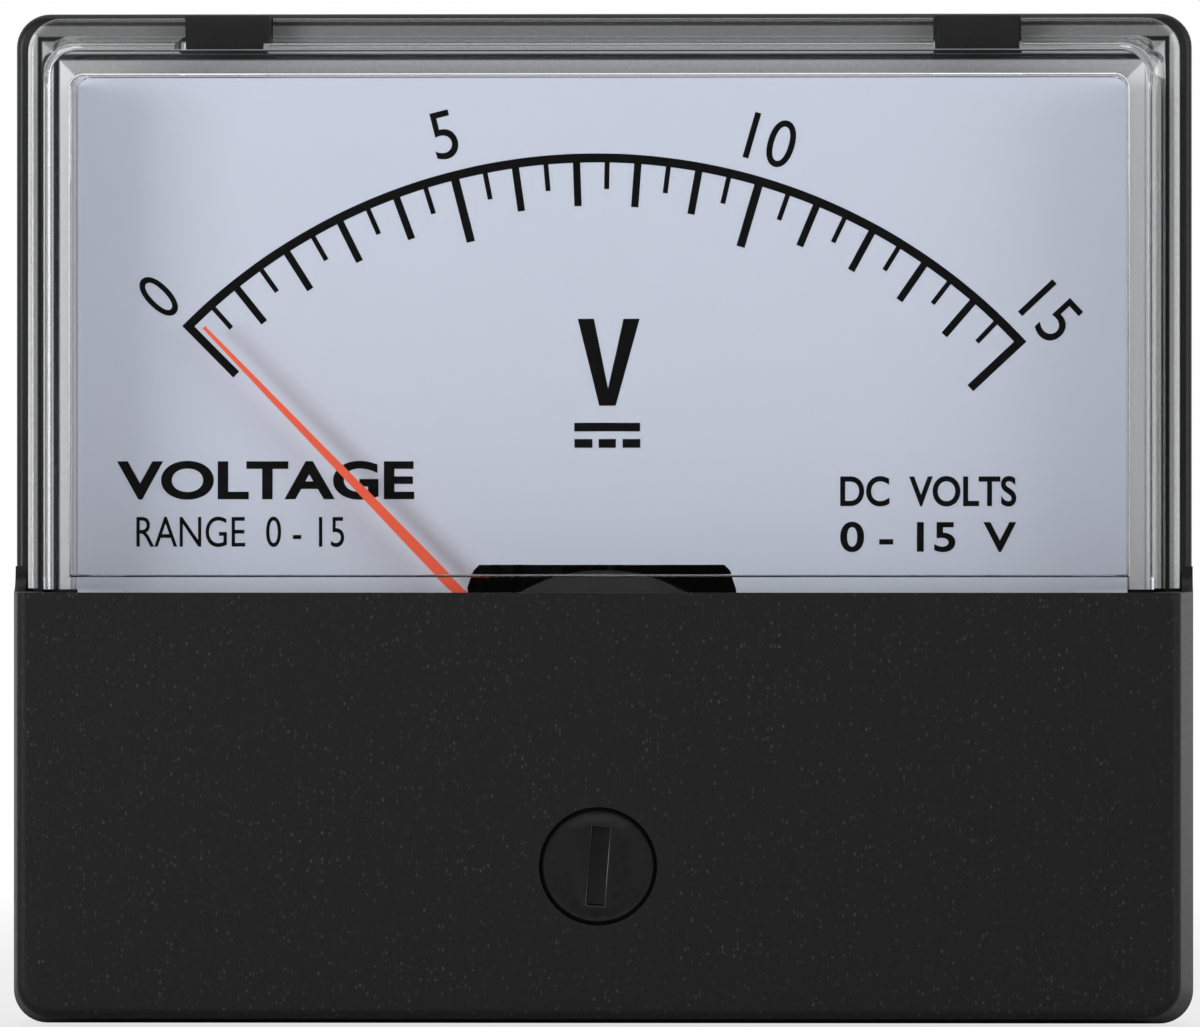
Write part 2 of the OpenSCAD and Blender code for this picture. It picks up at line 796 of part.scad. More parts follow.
module web() {
    difference() {
        intersection() {
            translate([-web_half, core_r - 1, yoke_z0])
                cube([2 * web_half, yoke_in_r - core_r + 1, yoke_h + frame_t]);
            cylinder(r = yoke_in_r, h = far, center = true);
        }
        cylinder(r = core_r, h = far, center = true);
    }
    translate([-key_w / 2, core_r - key_depth, yoke_z0]) cube([key_w, key_depth + 0.3, yoke_h]);
    translate([-web_half, yoke_in_r - 0.5, yoke_z1]) cube([2 * web_half, 1, frame_t]);
}

module frame_screws()
    color([0.75, 0.75, 0.73]) upright() at_pivot()
        frame_screw_places() translate([0, 0, frame_z])
            screw(bridge_screw_r, bridge_screw_l + frame_t - 0.3, bridge_head_r - 0.1, bridge_head_h);

module bridge_bar(h)
    intersection() {
        translate([-yoke_r, -bridge_w / 2, 0]) cube([2 * yoke_r, bridge_w, h]);
        cylinder(r = yoke_r, h = h);
    }

// Front bridge with the bearing boss that the zero lever turns on
module front_bridge()
    color([0.8, 0.66, 0.35]) upright() at_pivot()
        translate([0, 0, front_bridge_z])
            difference() {
                union() {
                    bridge_bar(bridge_t);
                    cylinder(r = bridge_boss_r, h = bridge_t + bridge_boss_h);
                }
                translate([0, 0, -1]) cylinder(r = jewel_r, h = far);
                for (sx = [-1, 1]) translate([sx * pillar_x, 0, -1]) cylinder(r = bridge_screw_r, h = far);
            }

// Rear bridge, with a leg on each side down to the yoke
module rear_bridge()
    color([0.8, 0.66, 0.35]) upright() at_pivot()
        difference() {
            union() {
                translate([0, 0, rear_bridge_z - bridge_t]) bridge_bar(bridge_t);
                mirror_x()
                    intersection() {
                        translate([yoke_r - pillar_w, -bridge_w / 2, rear_bridge_z - bridge_t])
                            cube([pillar_w, bridge_w, yoke_z0 - rear_bridge_z + bridge_t]);
                        translate([0, 0, -far / 2]) cylinder(r = yoke_r, h = far);
                    }
            }
            translate([0, 0, -far / 2]) cylinder(r = jewel_r, h = far);
            for (sx = [-1, 1]) translate([sx * pillar_x, 0, -far / 2]) cylinder(r = bridge_screw_r, h = far);
        }

module bridge_screws()
    color([0.75, 0.75, 0.73]) upright() at_pivot()
        for (sx = [-1, 1]) {
            translate([sx * pillar_x, 0, front_bridge_z + bridge_t])
                screw(bridge_screw_r, bridge_screw_l - 0.2, bridge_head_r, bridge_head_h);
            translate([sx * pillar_x, 0, rear_bridge_z - bridge_t])
                mirror([0, 0, 1])
                    screw(bridge_screw_r, yoke_z0 - rear_bridge_z + bridge_t + bridge_screw_l - 1.5,
                        bridge_head_r, bridge_head_h);
        }

// Jewel screw from its cup at z = 0 up to its slotted end
module jewel_screw(l)
    difference() {
        cylinder(r = jewel_r, h = l);
        translate([0, 0, -eps]) cylinder(r1 = cup_depth, r2 = eps, h = cup_depth);
        translate([-jewel_r - 1, -jewel_slot_w / 2, l - jewel_slot_d])
            cube([2 * jewel_r + 2, jewel_slot_w, jewel_slot_d + 1]);
    }

module front_jewel_screw()
    color([0.82, 0.7, 0.4]) upright() at_pivot()
        translate([0, 0, front_cup_z])
            jewel_screw(front_nut_z + locknut_t + jewel_stick_out - front_cup_z);

module rear_jewel_screw()
    color([0.82, 0.7, 0.4]) upright() at_pivot()
        translate([0, 0, rear_cup_z]) mirror([0, 0, 1])
            jewel_screw(rear_cup_z - rear_arm_z + locknut_t + jewel_stick_out);

module jewel_locknuts()
    color([0.8, 0.66, 0.35]) upright() at_pivot()
        for (z = [front_nut_z, rear_arm_z - locknut_t])
            translate([0, 0, z])
                difference() {
                    cylinder(r = locknut_r, h = locknut_t, $fn = 6);
                    translate([0, 0, -1]) cylinder(r = jewel_r, h = locknut_t + 2);
                }

// Fixed arm that holds the outer end of the rear hairspring and takes the resistor's lead
module rear_spring_arm()
    color([0.8, 0.5, 0.32]) upright() at_pivot()
        difference() {
            union() {
                translate([0, 0, rear_arm_z]) {
                    cylinder(r = lever_ring_r, h = lever_t);
                    translate([-tab_w, 0, 0]) cube([2 * tab_w, tab_r + 2.4, lever_t]);
                }
                translate([-tab_w / 2, tab_r, rear_arm_z]) cube([tab_w, tab_t, rear_spring_z - rear_arm_z]);
            }
            translate([0, 0, -far / 2]) cylinder(r = jewel_r, h = far);
        }

// ---- moving coil ----

// Every piece of the moving system is drawn with the pointer upright, then turned to rest
module moving() upright() at_pivot() rotate([0, 0, pointer_zero]) children();

// Closed loop in the plane of x and z, with rounded corners
module loop(half, z0, z1, t, w, r)
    rotate([90, 0, 0])
        translate([0, (z0 + z1) / 2, -w / 2])
            linear_extrude(w)
                difference() {
                    rounded_rect(2 * half, z1 - z0, r);
                    rounded_rect(2 * (half - t), z1 - z0 - 2 * t, max(r - t, 0.1));
                }

module coil_former()
    color([0.82, 0.82, 0.84]) moving()
        loop(former_out, coil_z0 + winding_t, coil_z1 - winding_t, former_t, former_w, 0.5);

module coil_winding()
    color([0.72, 0.36, 0.18]) moving()
        loop(winding_out, coil_z0, coil_z1, winding_t, former_w - 2 * winding_side, 1.1);

// Pivot from its hub at z = 0 up to its point
module pivot(collet_h) {
    cylinder(r = hub_r, h = hub_t);
    cylinder(r = collet_r, h = hub_t + collet_h);
    cylinder(r = needle_r, h = hub_t + collet_h + needle_len);
    translate([0, 0, hub_t + collet_h + needle_len]) cylinder(r1 = needle_r, r2 = 0.03, h = needle_tip);
}

module front_pivot()
    color([0.78, 0.78, 0.8]) moving() translate([0, 0, coil_z1]) pivot(front_collet_h);

module rear_pivot()
    color([0.78, 0.78, 0.8]) moving() translate([0, 0, coil_z0]) mirror([0, 0, 1]) pivot(rear_collet_h);

// Pointer, tail and side arms, cut from one strip: a side view crossed with a plan
module pointer()
    color([0.93, 0.28, 0.18]) moving()
        difference() {
            union() {
                intersection() {
                    translate([-far / 2, 0, 0]) rotate([90, 0, 90]) linear_extrude(far) pointer_side();
                    translate([0, 0, coil_z1]) linear_extrude(far / 2) pointer_plan();
                }
                translate([0, 0, arm_z]) cylinder(r = hub_r - 0.1, h = pointer_t);
                translate([-side_arm_len, -arm_w / 2, arm_z]) cube([2 * side_arm_len, arm_w, pointer_t]);
            }
            cylinder(r = collet_r, h = far / 2);
        }

module pointer_side()
    polygon([[-tail_len, arm_z], [crank_start, arm_z], [crank_end, pointer_z], [pointer_len, pointer_z],
        [pointer_len, pointer_z + pointer_t], [crank_end - 0.1, pointer_z + pointer_t],
        [crank_start - 0.1, arm_z + pointer_t], [-tail_len, arm_z + pointer_t]]);

module pointer_plan()
    polygon([[-arm_w / 2, -tail_len], [arm_w / 2, -tail_len], [arm_w / 2, -hub_r], [pointer_w[0] / 2, 0],
        [pointer_w[0] / 2, crank_end + 6], [pointer_w[1] / 2, pointer_len], [-pointer_w[1] / 2, pointer_len],
        [-pointer_w[0] / 2, crank_end + 6], [-pointer_w[0] / 2, 0], [-arm_w / 2, -hub_r]]);

module balance_weights()
    color([0.8, 0.66, 0.35]) moving()
        difference() {
            translate([0, 0, arm_z + pointer_t / 2]) {
                translate([0, -tail_len + tail_weight_l + 0.1, 0])
                    rotate([90, 0, 0]) cylinder(r = tail_weight_r, h = tail_weight_l);
                mirror_x()
                    translate([side_arm_len - side_weight_l - 0.1, 0, 0])
                        rotate([0, 90, 0]) cylinder(r = side_weight_r, h = side_weight_l);
            }
            translate([-arm_w / 2, -tail_len - 1, arm_z]) cube([arm_w, tail_len, pointer_t]);
            translate([-far / 2, -arm_w / 2, arm_z]) cube([far, arm_w, pointer_t]);
        }

module front_hairspring()
    color([0.78, 0.5, 0.3]) upright() at_pivot()
        translate([0, 0, front_spring_z])
            rotate([0, 0, 90 - 360 * spring_turns])
                spiral(collet_r, spring_r, spring_turns, spring_t, spring_h);

module rear_hairspring()
    color([0.78, 0.5, 0.3]) upright() at_pivot()
        translate([0, 0, rear_spring_z - spring_h])
            rotate([0, 0, 90 - 360 * spring_turns])
                spiral(collet_r, spring_r, spring_turns, spring_t, spring_h);

// ---- zero adjuster ----

// Lever on the front bridge: a fork for the adjuster's pin, and a tail with the hairspring's tab
module zero_lever()
    color([0.8, 0.5, 0.32]) upright() at_pivot()
        difference() {
            union() {
                translate([0, 0, lever_z]) {
                    cylinder(r = lever_ring_r, h = lever_t);
                    translate([-lever_arm_w / 2, -lever_reach, 0]) cube([lever_arm_w, lever_reach, lever_t]);
                    translate([-fork_w / 2, -lever_reach - fork_end, 0]) cube([fork_w, fork_l, lever_t]);
                    translate([-lever_tail[0] / 2, 0, 0]) cube([lever_tail[0], lever_tail[1], lever_t]);
                }
                translate([-tab_w / 2, tab_r, front_spring_z])
                    cube([tab_w, tab_t, lever_z + lever_t - front_spring_z]);
            }
            cylinder(r = bridge_boss_r + running, h = far);
            translate([-zero_pin_r - fork_slack, -lever_reach - 2 * fork_end, lever_z - 1])
                cube([2 * (zero_pin_r + fork_slack), 2 * fork_end + zero_throw, lever_t + 2]);
        }

// Adjuster: dished head with a slot, a flange behind the cover and an eccentric pin
module zero_screw()
    color([0.12, 0.12, 0.125]) upright()
        translate([0, zero_y, 0])
            difference() {
                union() {
                    translate([0, 0, zero_flange_z]) cylinder(r = zero_flange_r, h = zero_flange_t);
                    rotate_extrude()
                        polygon([[0, zero_flange_z], [zero_r, zero_flange_z], [zero_r, front_depth - 0.25],
                            [zero_r - 0.2, front_depth - 0.05], [zero_r - 0.5, front_depth - 0.05],
                            [zero_r - 0.9, front_depth - zero_dish], [0, front_depth - zero_dish]]);
                    translate([0, -zero_throw, lever_z - 0.3])
                        cylinder(r = zero_pin_r, h = zero_flange_z - lever_z + 0.3 + eps);
                }
                rotate([0, 0, -zero_slot_turn])
                    translate([-zero_slot_w / 2, -zero_slot_l / 2, front_depth - zero_dish - 1])
                        cube([zero_slot_w, zero_slot_l, 3]);
            }

// Ring pressed into the boss to keep the adjuster in
module zero_screw_ring()
    color([0.15, 0.15, 0.15]) upright()
        translate([0, zero_y, zero_flange_z - fit - zero_ring_t])
            ring(zero_flange_r + fit, zero_ring_in, zero_ring_t);

// ---- fixings and wiring ----

module movement_screws()
    color([0.75, 0.75, 0.73]) upright()
        movement_screw_places() translate([0, 0, yoke_z1])
            screw(movement_screw_r, movement_screw_l - 0.3, movement_head_r, movement_head_h);

module solder_lugs()
    color([0.8, 0.66, 0.35]) upright()
        terminal_places() translate([0, 0, inner_back_z])
            difference() {
                union() {
                    cylinder(r = lug_r, h = lug_t);
                    translate([-lug_w / 2, -lug_len, 0]) cube([lug_w, lug_len, lug_t]);
                }
                translate([0, 0, -1]) cylinder(r = terminal_core_r, h = 3);
                translate([0, -lug_len + lug_w / 2, -1]) cylinder(r = lug_hole_r, h = 3);
            }

// Series resistor, soldered between the left lug and the rear spring arm
module series_resistor()
    color([0.62, 0.74, 0.8]) upright() {
        x0 = -terminal_pitch / 2;
        y0 = terminal_y - lug_len + lug_w / 2;
        y1 = -pivot_drop + tab_r + 1.6;
        body_x = (x0 - resistor_l) / 2;
        wire([[x0, y0, inner_back_z + 0.1], [x0, y0, resistor_z], [body_x, y0, resistor_z]], resistor_lead_r);
        wire([[body_x + resistor_l, y0, resistor_z], [0, y0, resistor_z], [0, y1, resistor_z],
            [0, y1, rear_arm_z]], resistor_lead_r);
        translate([body_x, y0, resistor_z])
            rotate([0, 90, 0]) cylinder(r = resistor_r - resistor_waist, h = resistor_l);
        for (end = [0, 1])
            translate([body_x + end * (resistor_l - resistor_cap_l), y0, resistor_z])
                rotate([0, 90, 0]) cylinder(r = resistor_r, h = resistor_cap_l);
    }

// Wire from the right lug to the rear bridge, which leads to the frame and the front spring
module lead_wire()
    color([0.7, 0.1, 0.08]) upright() {
        x0 = terminal_pitch / 2;
        y0 = terminal_y - lug_len + lug_w / 2;
        y1 = -pivot_drop + 0.6;
        z1 = rear_bridge_z + 0.6;
        wire([[x0, y0, inner_back_z + 0.1], [x0, y0, z1], [x0, y1, z1], [yoke_r, y1, z1]], wire_r);
    }

module hex_nut(bore, h)
    difference() {
        cylinder(r = nut_flats / 2 / cos(30), h = h, $fn = 6);
        translate([0, 0, -1]) cylinder(r = bore, h = h + 2);
    }

// Terminal studs: hexagon head inside, thread through the wall, full thread at the free end
module terminal_studs() {
    nut_end = outer_washer_z - washer_t - nut_t;
    color([0.83, 0.7, 0.4]) upright()
        terminal_places() {
            translate([0, 0, inner_back_z + lug_t])
                cylinder(r = nut_flats / 2 / cos(30), h = terminal_head_t, $fn = 6);
            translate([0, 0, nut_end])
                cylinder(r = terminal_core_r, h = inner_back_z + lug_t - nut_end + eps);
            translate([0, 0, terminal_end_z + stud_tip])
                cylinder(r = terminal_r, h = terminal_free - stud_tip);
            translate([0, 0, terminal_end_z])
                cylinder(r1 = terminal_r - stud_tip, r2 = terminal_r, h = stud_tip);
        }
}

module terminal_washers()
    color([0.78, 0.77, 0.74]) upright()
        terminal_places()
            for (z = [pad_z - washer_t, outer_washer_z - washer_t])
                translate([0, 0, z]) ring(washer_r, terminal_hole_r, washer_t);

module terminal_nuts()
    color([0.83, 0.7, 0.4]) upright()
        terminal_places()
            for (z = [outer_washer_z, outer_washer_z - washer_t - nut_t])
                translate([0, 0, z]) hex_nut(terminal_core_r, nut_t);

base();
window_cover();
lower_cover();
dial_plate();
dial_screws();
dial_pillars();
stop_pins();
stop_sleeves();
yoke();
core_magnet();
core_frame();
frame_screws();
front_bridge();
rear_bridge();
bridge_screws();
front_jewel_screw();
rear_jewel_screw();
jewel_locknuts();
rear_spring_arm();
coil_former();
coil_winding();
front_pivot();
rear_pivot();
pointer();
balance_weights();
front_hairspring();
rear_hairspring();
zero_lever();
zero_screw();
zero_screw_ring();
movement_screws();
series_resistor();
lead_wire();
solder_lugs();
terminal_studs();
terminal_washers();
terminal_nuts();
mounting_studs();
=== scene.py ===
"""Finishes, printed dial, threads and studio of an analog panel meter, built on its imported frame."""

import json
import math

import bmesh
import bpy
from mathutils import Matrix, Vector


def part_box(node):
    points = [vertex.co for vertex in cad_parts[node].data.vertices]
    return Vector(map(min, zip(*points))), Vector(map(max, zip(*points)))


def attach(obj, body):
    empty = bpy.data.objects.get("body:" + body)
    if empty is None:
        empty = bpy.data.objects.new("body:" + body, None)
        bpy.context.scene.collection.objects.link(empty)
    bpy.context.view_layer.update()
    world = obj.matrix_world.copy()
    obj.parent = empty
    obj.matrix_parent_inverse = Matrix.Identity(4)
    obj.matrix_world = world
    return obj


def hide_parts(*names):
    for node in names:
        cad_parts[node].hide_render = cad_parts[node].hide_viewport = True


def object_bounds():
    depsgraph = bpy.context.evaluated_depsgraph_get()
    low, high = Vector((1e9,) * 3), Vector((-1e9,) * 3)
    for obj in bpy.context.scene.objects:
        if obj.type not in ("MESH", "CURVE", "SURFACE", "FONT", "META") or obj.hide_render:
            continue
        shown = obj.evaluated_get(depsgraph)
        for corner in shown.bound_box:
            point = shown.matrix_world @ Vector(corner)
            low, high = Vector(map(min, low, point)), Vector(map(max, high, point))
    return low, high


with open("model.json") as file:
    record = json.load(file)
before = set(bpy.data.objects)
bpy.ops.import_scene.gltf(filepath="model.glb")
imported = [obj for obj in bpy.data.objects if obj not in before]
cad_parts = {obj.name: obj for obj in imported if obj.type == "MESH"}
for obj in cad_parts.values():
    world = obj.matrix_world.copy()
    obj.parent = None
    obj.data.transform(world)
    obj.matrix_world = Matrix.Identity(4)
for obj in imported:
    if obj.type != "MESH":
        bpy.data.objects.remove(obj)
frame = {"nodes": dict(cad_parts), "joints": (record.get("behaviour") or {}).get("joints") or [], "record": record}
CAD_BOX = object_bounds()

bl_info = {
    "name": "Panel Meter",
    "version": (1, 0, 0),
    "blender": (4, 5, 0),
    "location": "View3D > Sidebar > Meter",
    "description": "Finishes, dial print, threads and studio for a moving-coil panel meter",
    "category": "Object",
}

MM = 0.001
JOINTS = {joint["name"]: joint for joint in frame["joints"]}
PIVOT = Vector(JOINTS["pointer_swing"]["pos_m"])
ADJUSTER = Vector(JOINTS["zero_adjust"]["pos_m"])
DIAL_LOW, DIAL_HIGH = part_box("dial_plate")
WINDOW_LOW, WINDOW_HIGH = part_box("window_cover")
WELD = 0.0005 * MM  # corners of a CAD mesh nearer than this are one
NEAR = 0.01 * MM  # an edge this near to a place lies on it
FLAT = math.radians(0.5)  # faces that bend less than this are one face
CORNER = math.radians(50)  # only edges that bend more than this are rounded
CREASE = math.radians(35)  # edges that bend more than this stay sharp in shading
PANE = 1.5 * MM
WINDOW_FILLET = 0.2 * MM
DIAL_GAP = 0.1 * MM  # from the dial's edge to the window's inner wall
DIAL_GROWTH = 0.08 * MM  # paint that thickens the dial's edge
DIAL_ROUND = 0.12 * MM
NUMBERED_LINE = (0.5 * MM, 4.3 * MM)  # width and length of a line of the scale
WHOLE_LINE = (0.43 * MM, 3.1 * MM)
HALF_LINE = (0.29 * MM, 2.1 * MM)
NUMERAL_WIDTHS = (0.5, 0.98)  # of one figure and of two, as a share of their height
SLOT_REACH = 2.6 * MM  # the adjuster's slot lies within this radius
SLOT_RIM = 0.5 * MM  # and its edges within this depth
SLOT_ROUND = 0.1 * MM
STUD_THREAD = (1.5 * MM, 0.5 * MM, 0.3 * MM)  # radius, pitch and depth
TERMINAL_THREAD = (2.0 * MM, 0.7 * MM, 0.4 * MM)
THREAD_UNDER_NUT = 0.6 * MM
THREAD_CHAMFER = 0.4 * MM
THREAD_STEPS = 24  # faces in a turn of thread
FLOOR_RADIUS = 0.3
FOOT_WIDTH = 3.2 * MM
FOOT_DEPTH = 2 * MM
BLUR = 0.1 * MM  # half the width over which one ground band runs into the next
# How strongly the window's foot is frosted white, from its inner wall (0) to the rim of its lip (1): bands of
# white diffuse plastic as a painted reflection of the white surround seen in the walls
FOOT_REFLECTION_BANDS = (
    (0.0, 1.0),
    (0.3, 1.0),
    (0.34, 0.0),
    (0.42, 0.0),
    (0.46, 1.0),
    (0.68, 1.0),
    (0.71, 0.0),
    (0.77, 0.0),
    (0.8, 0.75),
    (0.97, 0.75),
    (1.0, 0.1),
)
FINISHES = {}  # material by slot, filled by the first operator
NODES_BY_SLOT = {}
for subpart in frame["record"]["subparts"]:
    NODES_BY_SLOT.setdefault(subpart["material_slot"], []).append(subpart["node"])


# ---- sizes and colours ----


class MeterPrint(bpy.types.PropertyGroup):
    """Printed scale and lettering of the dial"""

    arc_radius: bpy.props.FloatProperty(
        name="Arc Radius", description="Outer radius of the scale's arc", default=34.58 * MM, unit="LENGTH"
    )
    arc_width: bpy.props.FloatProperty(
        name="Arc Width", description="Width of the arc's line", default=0.53 * MM, unit="LENGTH"
    )
    arc_shift: bpy.props.FloatProperty(
        name="Arc Shift",
        description="Arc's centre, sideways from the pivot",
        default=-0.32 * MM,
        unit="LENGTH",
    )
    arc_start: bpy.props.FloatProperty(
        name="Arc Start",
        description="Angle of the first line, clockwise from upright",
        default=math.radians(-44.75),
        subtype="ANGLE",
    )
    arc_sweep: bpy.props.FloatProperty(
        name="Arc Sweep",
        description="Angle from the first line to the last",
        default=math.radians(91.65),
        subtype="ANGLE",
    )
    scale_end: bpy.props.IntProperty(name="Scale End", description="Reading at the last line", default=15)
    major_step: bpy.props.IntProperty(
        name="Major Step", description="Readings from one number to the next", default=5
    )
    numeral_height: bpy.props.FloatProperty(
        name="Numeral Height", description="Height of the numbers", default=2.84 * MM, unit="LENGTH"
    )
    numeral_radius: bpy.props.FloatProperty(
        name="Numeral Radius",
        description="Distance of the numbers' middle from the arc's centre",
        default=36.8 * MM,
        unit="LENGTH",
    )
    ink_thickness: bpy.props.FloatProperty(
        name="Ink Thickness", description="Thickness of the printed ink", default=0.02 * MM, unit="LENGTH"
    )


class MeterFinish(bpy.types.PropertyGroup):
    """Colours of the finishes"""

    base_colour: bpy.props.FloatVectorProperty(
        name="Base", description="Plastic of the base", default=(0.012, 0.012, 0.0125), subtype="COLOR"
    )
    cover_colour: bpy.props.FloatVectorProperty(
        name="Lower Cover",
        description="Plastic of the lower cover",
        default=(0.0064, 0.0064, 0.0064),
        subtype="COLOR",
    )
    adjuster_colour: bpy.props.FloatVectorProperty(
        name="Adjuster",
        description="Plastic of the adjuster",
        default=(0.006, 0.006, 0.0065),
        subtype="COLOR",
    )
    dial_colour: bpy.props.FloatVectorProperty(
        name="Dial", description="Paint of the dial", default=(0.65, 0.69, 0.80), subtype="COLOR"
    )
    ink_colour: bpy.props.FloatVectorProperty(
        name="Ink", description="Printed ink", default=(0.003, 0.003, 0.0035), subtype="COLOR"
    )
    pointer_colour: bpy.props.FloatVectorProperty(
        name="Pointer", description="Paint of the pointer", default=(0.96, 0.125, 0.058), subtype="COLOR"
    )
    window_tint: bpy.props.FloatVectorProperty(
        name="Window", description="Tint of the clear plastic", default=(0.985, 0.99, 0.995), subtype="COLOR"
    )
    spark_size: bpy.props.FloatProperty(
        name="Spark Grain", description="Grain of the cover's texture", default=0.17 * MM, unit="LENGTH"
    )


class MeterStudio(bpy.types.PropertyGroup):
    """Camera and light"""

    camera_distance: bpy.props.FloatProperty(
        name="Camera Distance", description="From the dial to the camera", default=0.795, unit="LENGTH"
    )
    camera_turn: bpy.props.FloatProperty(
        name="Camera Turn",
        description="Angle of the camera to the right of the dial's middle",
        default=math.radians(1.42),
        subtype="ANGLE",
    )
    view_width: bpy.props.FloatProperty(
        name="View Width", description="Width of the view at the dial", default=71.01 * MM, unit="LENGTH"
    )
    aim: bpy.props.FloatVectorProperty(
        name="Aim",
        description="Middle of the view at the dial",
        default=(-0.118 * MM, -6.7 * MM, 0.237 * MM),
        subtype="TRANSLATION",
    )
    key_power: bpy.props.FloatProperty(name="Key Power", description="Power of the key light", default=2.65)
    fill_power: bpy.props.FloatProperty(name="Fill Power", description="Power of the fill light", default=1.4)
    ambient: bpy.props.FloatProperty(name="Ambient", description="Light from all round", default=0.34)


# ---- node materials ----


class Finish:
    """A material with one Principled shader, and short calls that add its nodes."""

    def __init__(self, name, colour, roughness, metallic=0.0, **sockets):
        self.material = bpy.data.materials.new(name)
        self.material.use_nodes = True
        self.tree = self.material.node_tree
        self.shader = self.tree.nodes["Principled BSDF"]
        self.output = self.tree.nodes["Material Output"]
        self.set("Base Color", (*colour, 1.0))
        self.set("Roughness", roughness)
        self.set("Metallic", metallic)
        for socket, value in sockets.items():
            self.set(socket.replace("_", " "), value)
        self.place = self.add("ShaderNodeTexCoord").outputs["Object"]

    def set(self, socket, value):
        self.shader.inputs[socket].default_value = value

    def add(self, kind, inputs=None, **settings):
        node = self.tree.nodes.new(kind)
        for name, value in settings.items():
            setattr(node, name, value)
        for name, value in (inputs or {}).items():
            if isinstance(value, bpy.types.NodeSocket):
                self.tree.links.new(value, node.inputs[name])
            else:
                node.inputs[name].default_value = value
        return node

    def link(self, output, socket):
        self.tree.links.new(output, self.shader.inputs[socket])

    def stretched(self, scale):
        return self.add("ShaderNodeMapping", {"Vector": self.place, "Scale": scale}).outputs["Vector"]

    def noise(self, grain, detail=2.0, roughness=0.5, place=None):
        """Noise whose features are about as large as grain, in metres."""
        inputs = {"Vector": place or self.place, "Scale": 1 / grain, "Detail": detail, "Roughness": roughness}
        return self.add("ShaderNodeTexNoise", inputs).outputs["Fac"]

    def span(self, value, low, high, to_low, to_high):
        inputs = {"Value": value, "From Min": low, "From Max": high, "To Min": to_low, "To Max": to_high}
        return self.add("ShaderNodeMapRange", inputs).outputs["Result"]

    def math(self, operation, a, b=0.5):
        return self.add("ShaderNodeMath", {0: a, 1: b}, operation=operation).outputs["Value"]

    def mix(self, factor, a, b):
        node = self.add("ShaderNodeMix", {"Factor": factor}, data_type="RGBA")
        for index, colour in ((6, a), (7, b)):
            if isinstance(colour, bpy.types.NodeSocket):
                self.tree.links.new(colour, node.inputs[index])
            else:
                node.inputs[index].default_value = (*colour, 1.0)
        return node.outputs[2]

    def bump(self, height, depth, strength=1.0):
        inputs = {"Height": height, "Distance": depth, "Strength": strength}
        return self.add("ShaderNodeBump", inputs).outputs["Normal"]

    def vary(self, colour, factor, spread):
        """Base colour that runs from darker to lighter by spread, as factor goes from 0 to 1."""
        dark = [channel * (1 - spread) for channel in colour]
        light = [min(1.0, channel * (1 + spread)) for channel in colour]
        self.link(self.mix(factor, dark, light), "Base Color")


def base_plastic(look):
    finish = Finish("moulded_black_plastic", look.base_colour, 0.4, Specular_IOR_Level=0.3)
    fine = finish.noise(0.09 * MM, detail=3.0)
    broad = finish.noise(6 * MM)
    finish.vary(look.base_colour, broad, 0.15)
    finish.link(finish.span(finish.math("ADD", fine, broad), 0.6, 1.4, 0.32, 0.46), "Roughness")
    finish.link(finish.bump(fine, 0.012 * MM), "Normal")
    return finish.material


def cover_plastic(look):
    """Black plastic with the fine pits of a spark-eroded mould, and sparse pale specks painted into its colour as
    glints of light.
    """
    finish = Finish("spark_textured_plastic", look.cover_colour, 0.5, Specular_IOR_Level=0.25)
    grain = look.spark_size
    tall = finish.stretched((1, 1, 0.65))
    cell = finish.add("ShaderNodeTexVoronoi", {"Vector": tall, "Scale": 1 / (grain * 1.3)}, feature="F1")
    spot = finish.span(cell.outputs["Distance"], 0.1, 0.42, 1, 0)
    chosen = finish.add("ShaderNodeSeparateColor", {0: cell.outputs["Color"]}).outputs["Red"]
    bright = finish.math("MULTIPLY", spot, finish.math("POWER", chosen, 4.0))
    patch = finish.noise(grain * 9, detail=3.0, roughness=0.6)
    # Painted glints: sparse cells lightened in the base colour, standing in for pits that catch the lamps.
    painted_glint = finish.math("MULTIPLY", bright, finish.span(patch, 0.35, 0.65, 0.45, 1))
    pits = finish.noise(grain * 0.6, detail=3.0, roughness=0.65, place=tall)
    height = finish.math("ADD", pits, finish.math("MULTIPLY", painted_glint, 0.6))
    finish.link(finish.bump(height, 0.03 * MM, 0.8), "Normal")
    finish.link(finish.span(pits, 0.3, 0.7, 0.6, 0.42), "Roughness")
    dark = [channel * 0.85 for channel in look.cover_colour]
    # Colour of the painted glints.
    glint_colour = [channel * 9 for channel in look.cover_colour]
    finish.link(finish.mix(painted_glint, dark, glint_colour), "Base Color")
    return finish.material


def adjuster_plastic(look):
    finish = Finish("adjuster_plastic", look.adjuster_colour, 0.16, Specular_IOR_Level=0.6)
    turned = finish.noise(0.5 * MM, detail=2.0)
    finish.vary(look.adjuster_colour, turned, 0.3)
    finish.link(finish.span(turned, 0.3, 0.7, 0.13, 0.2), "Roughness")
    finish.link(finish.bump(finish.noise(0.4 * MM), 0.001 * MM), "Normal")
    return finish.material


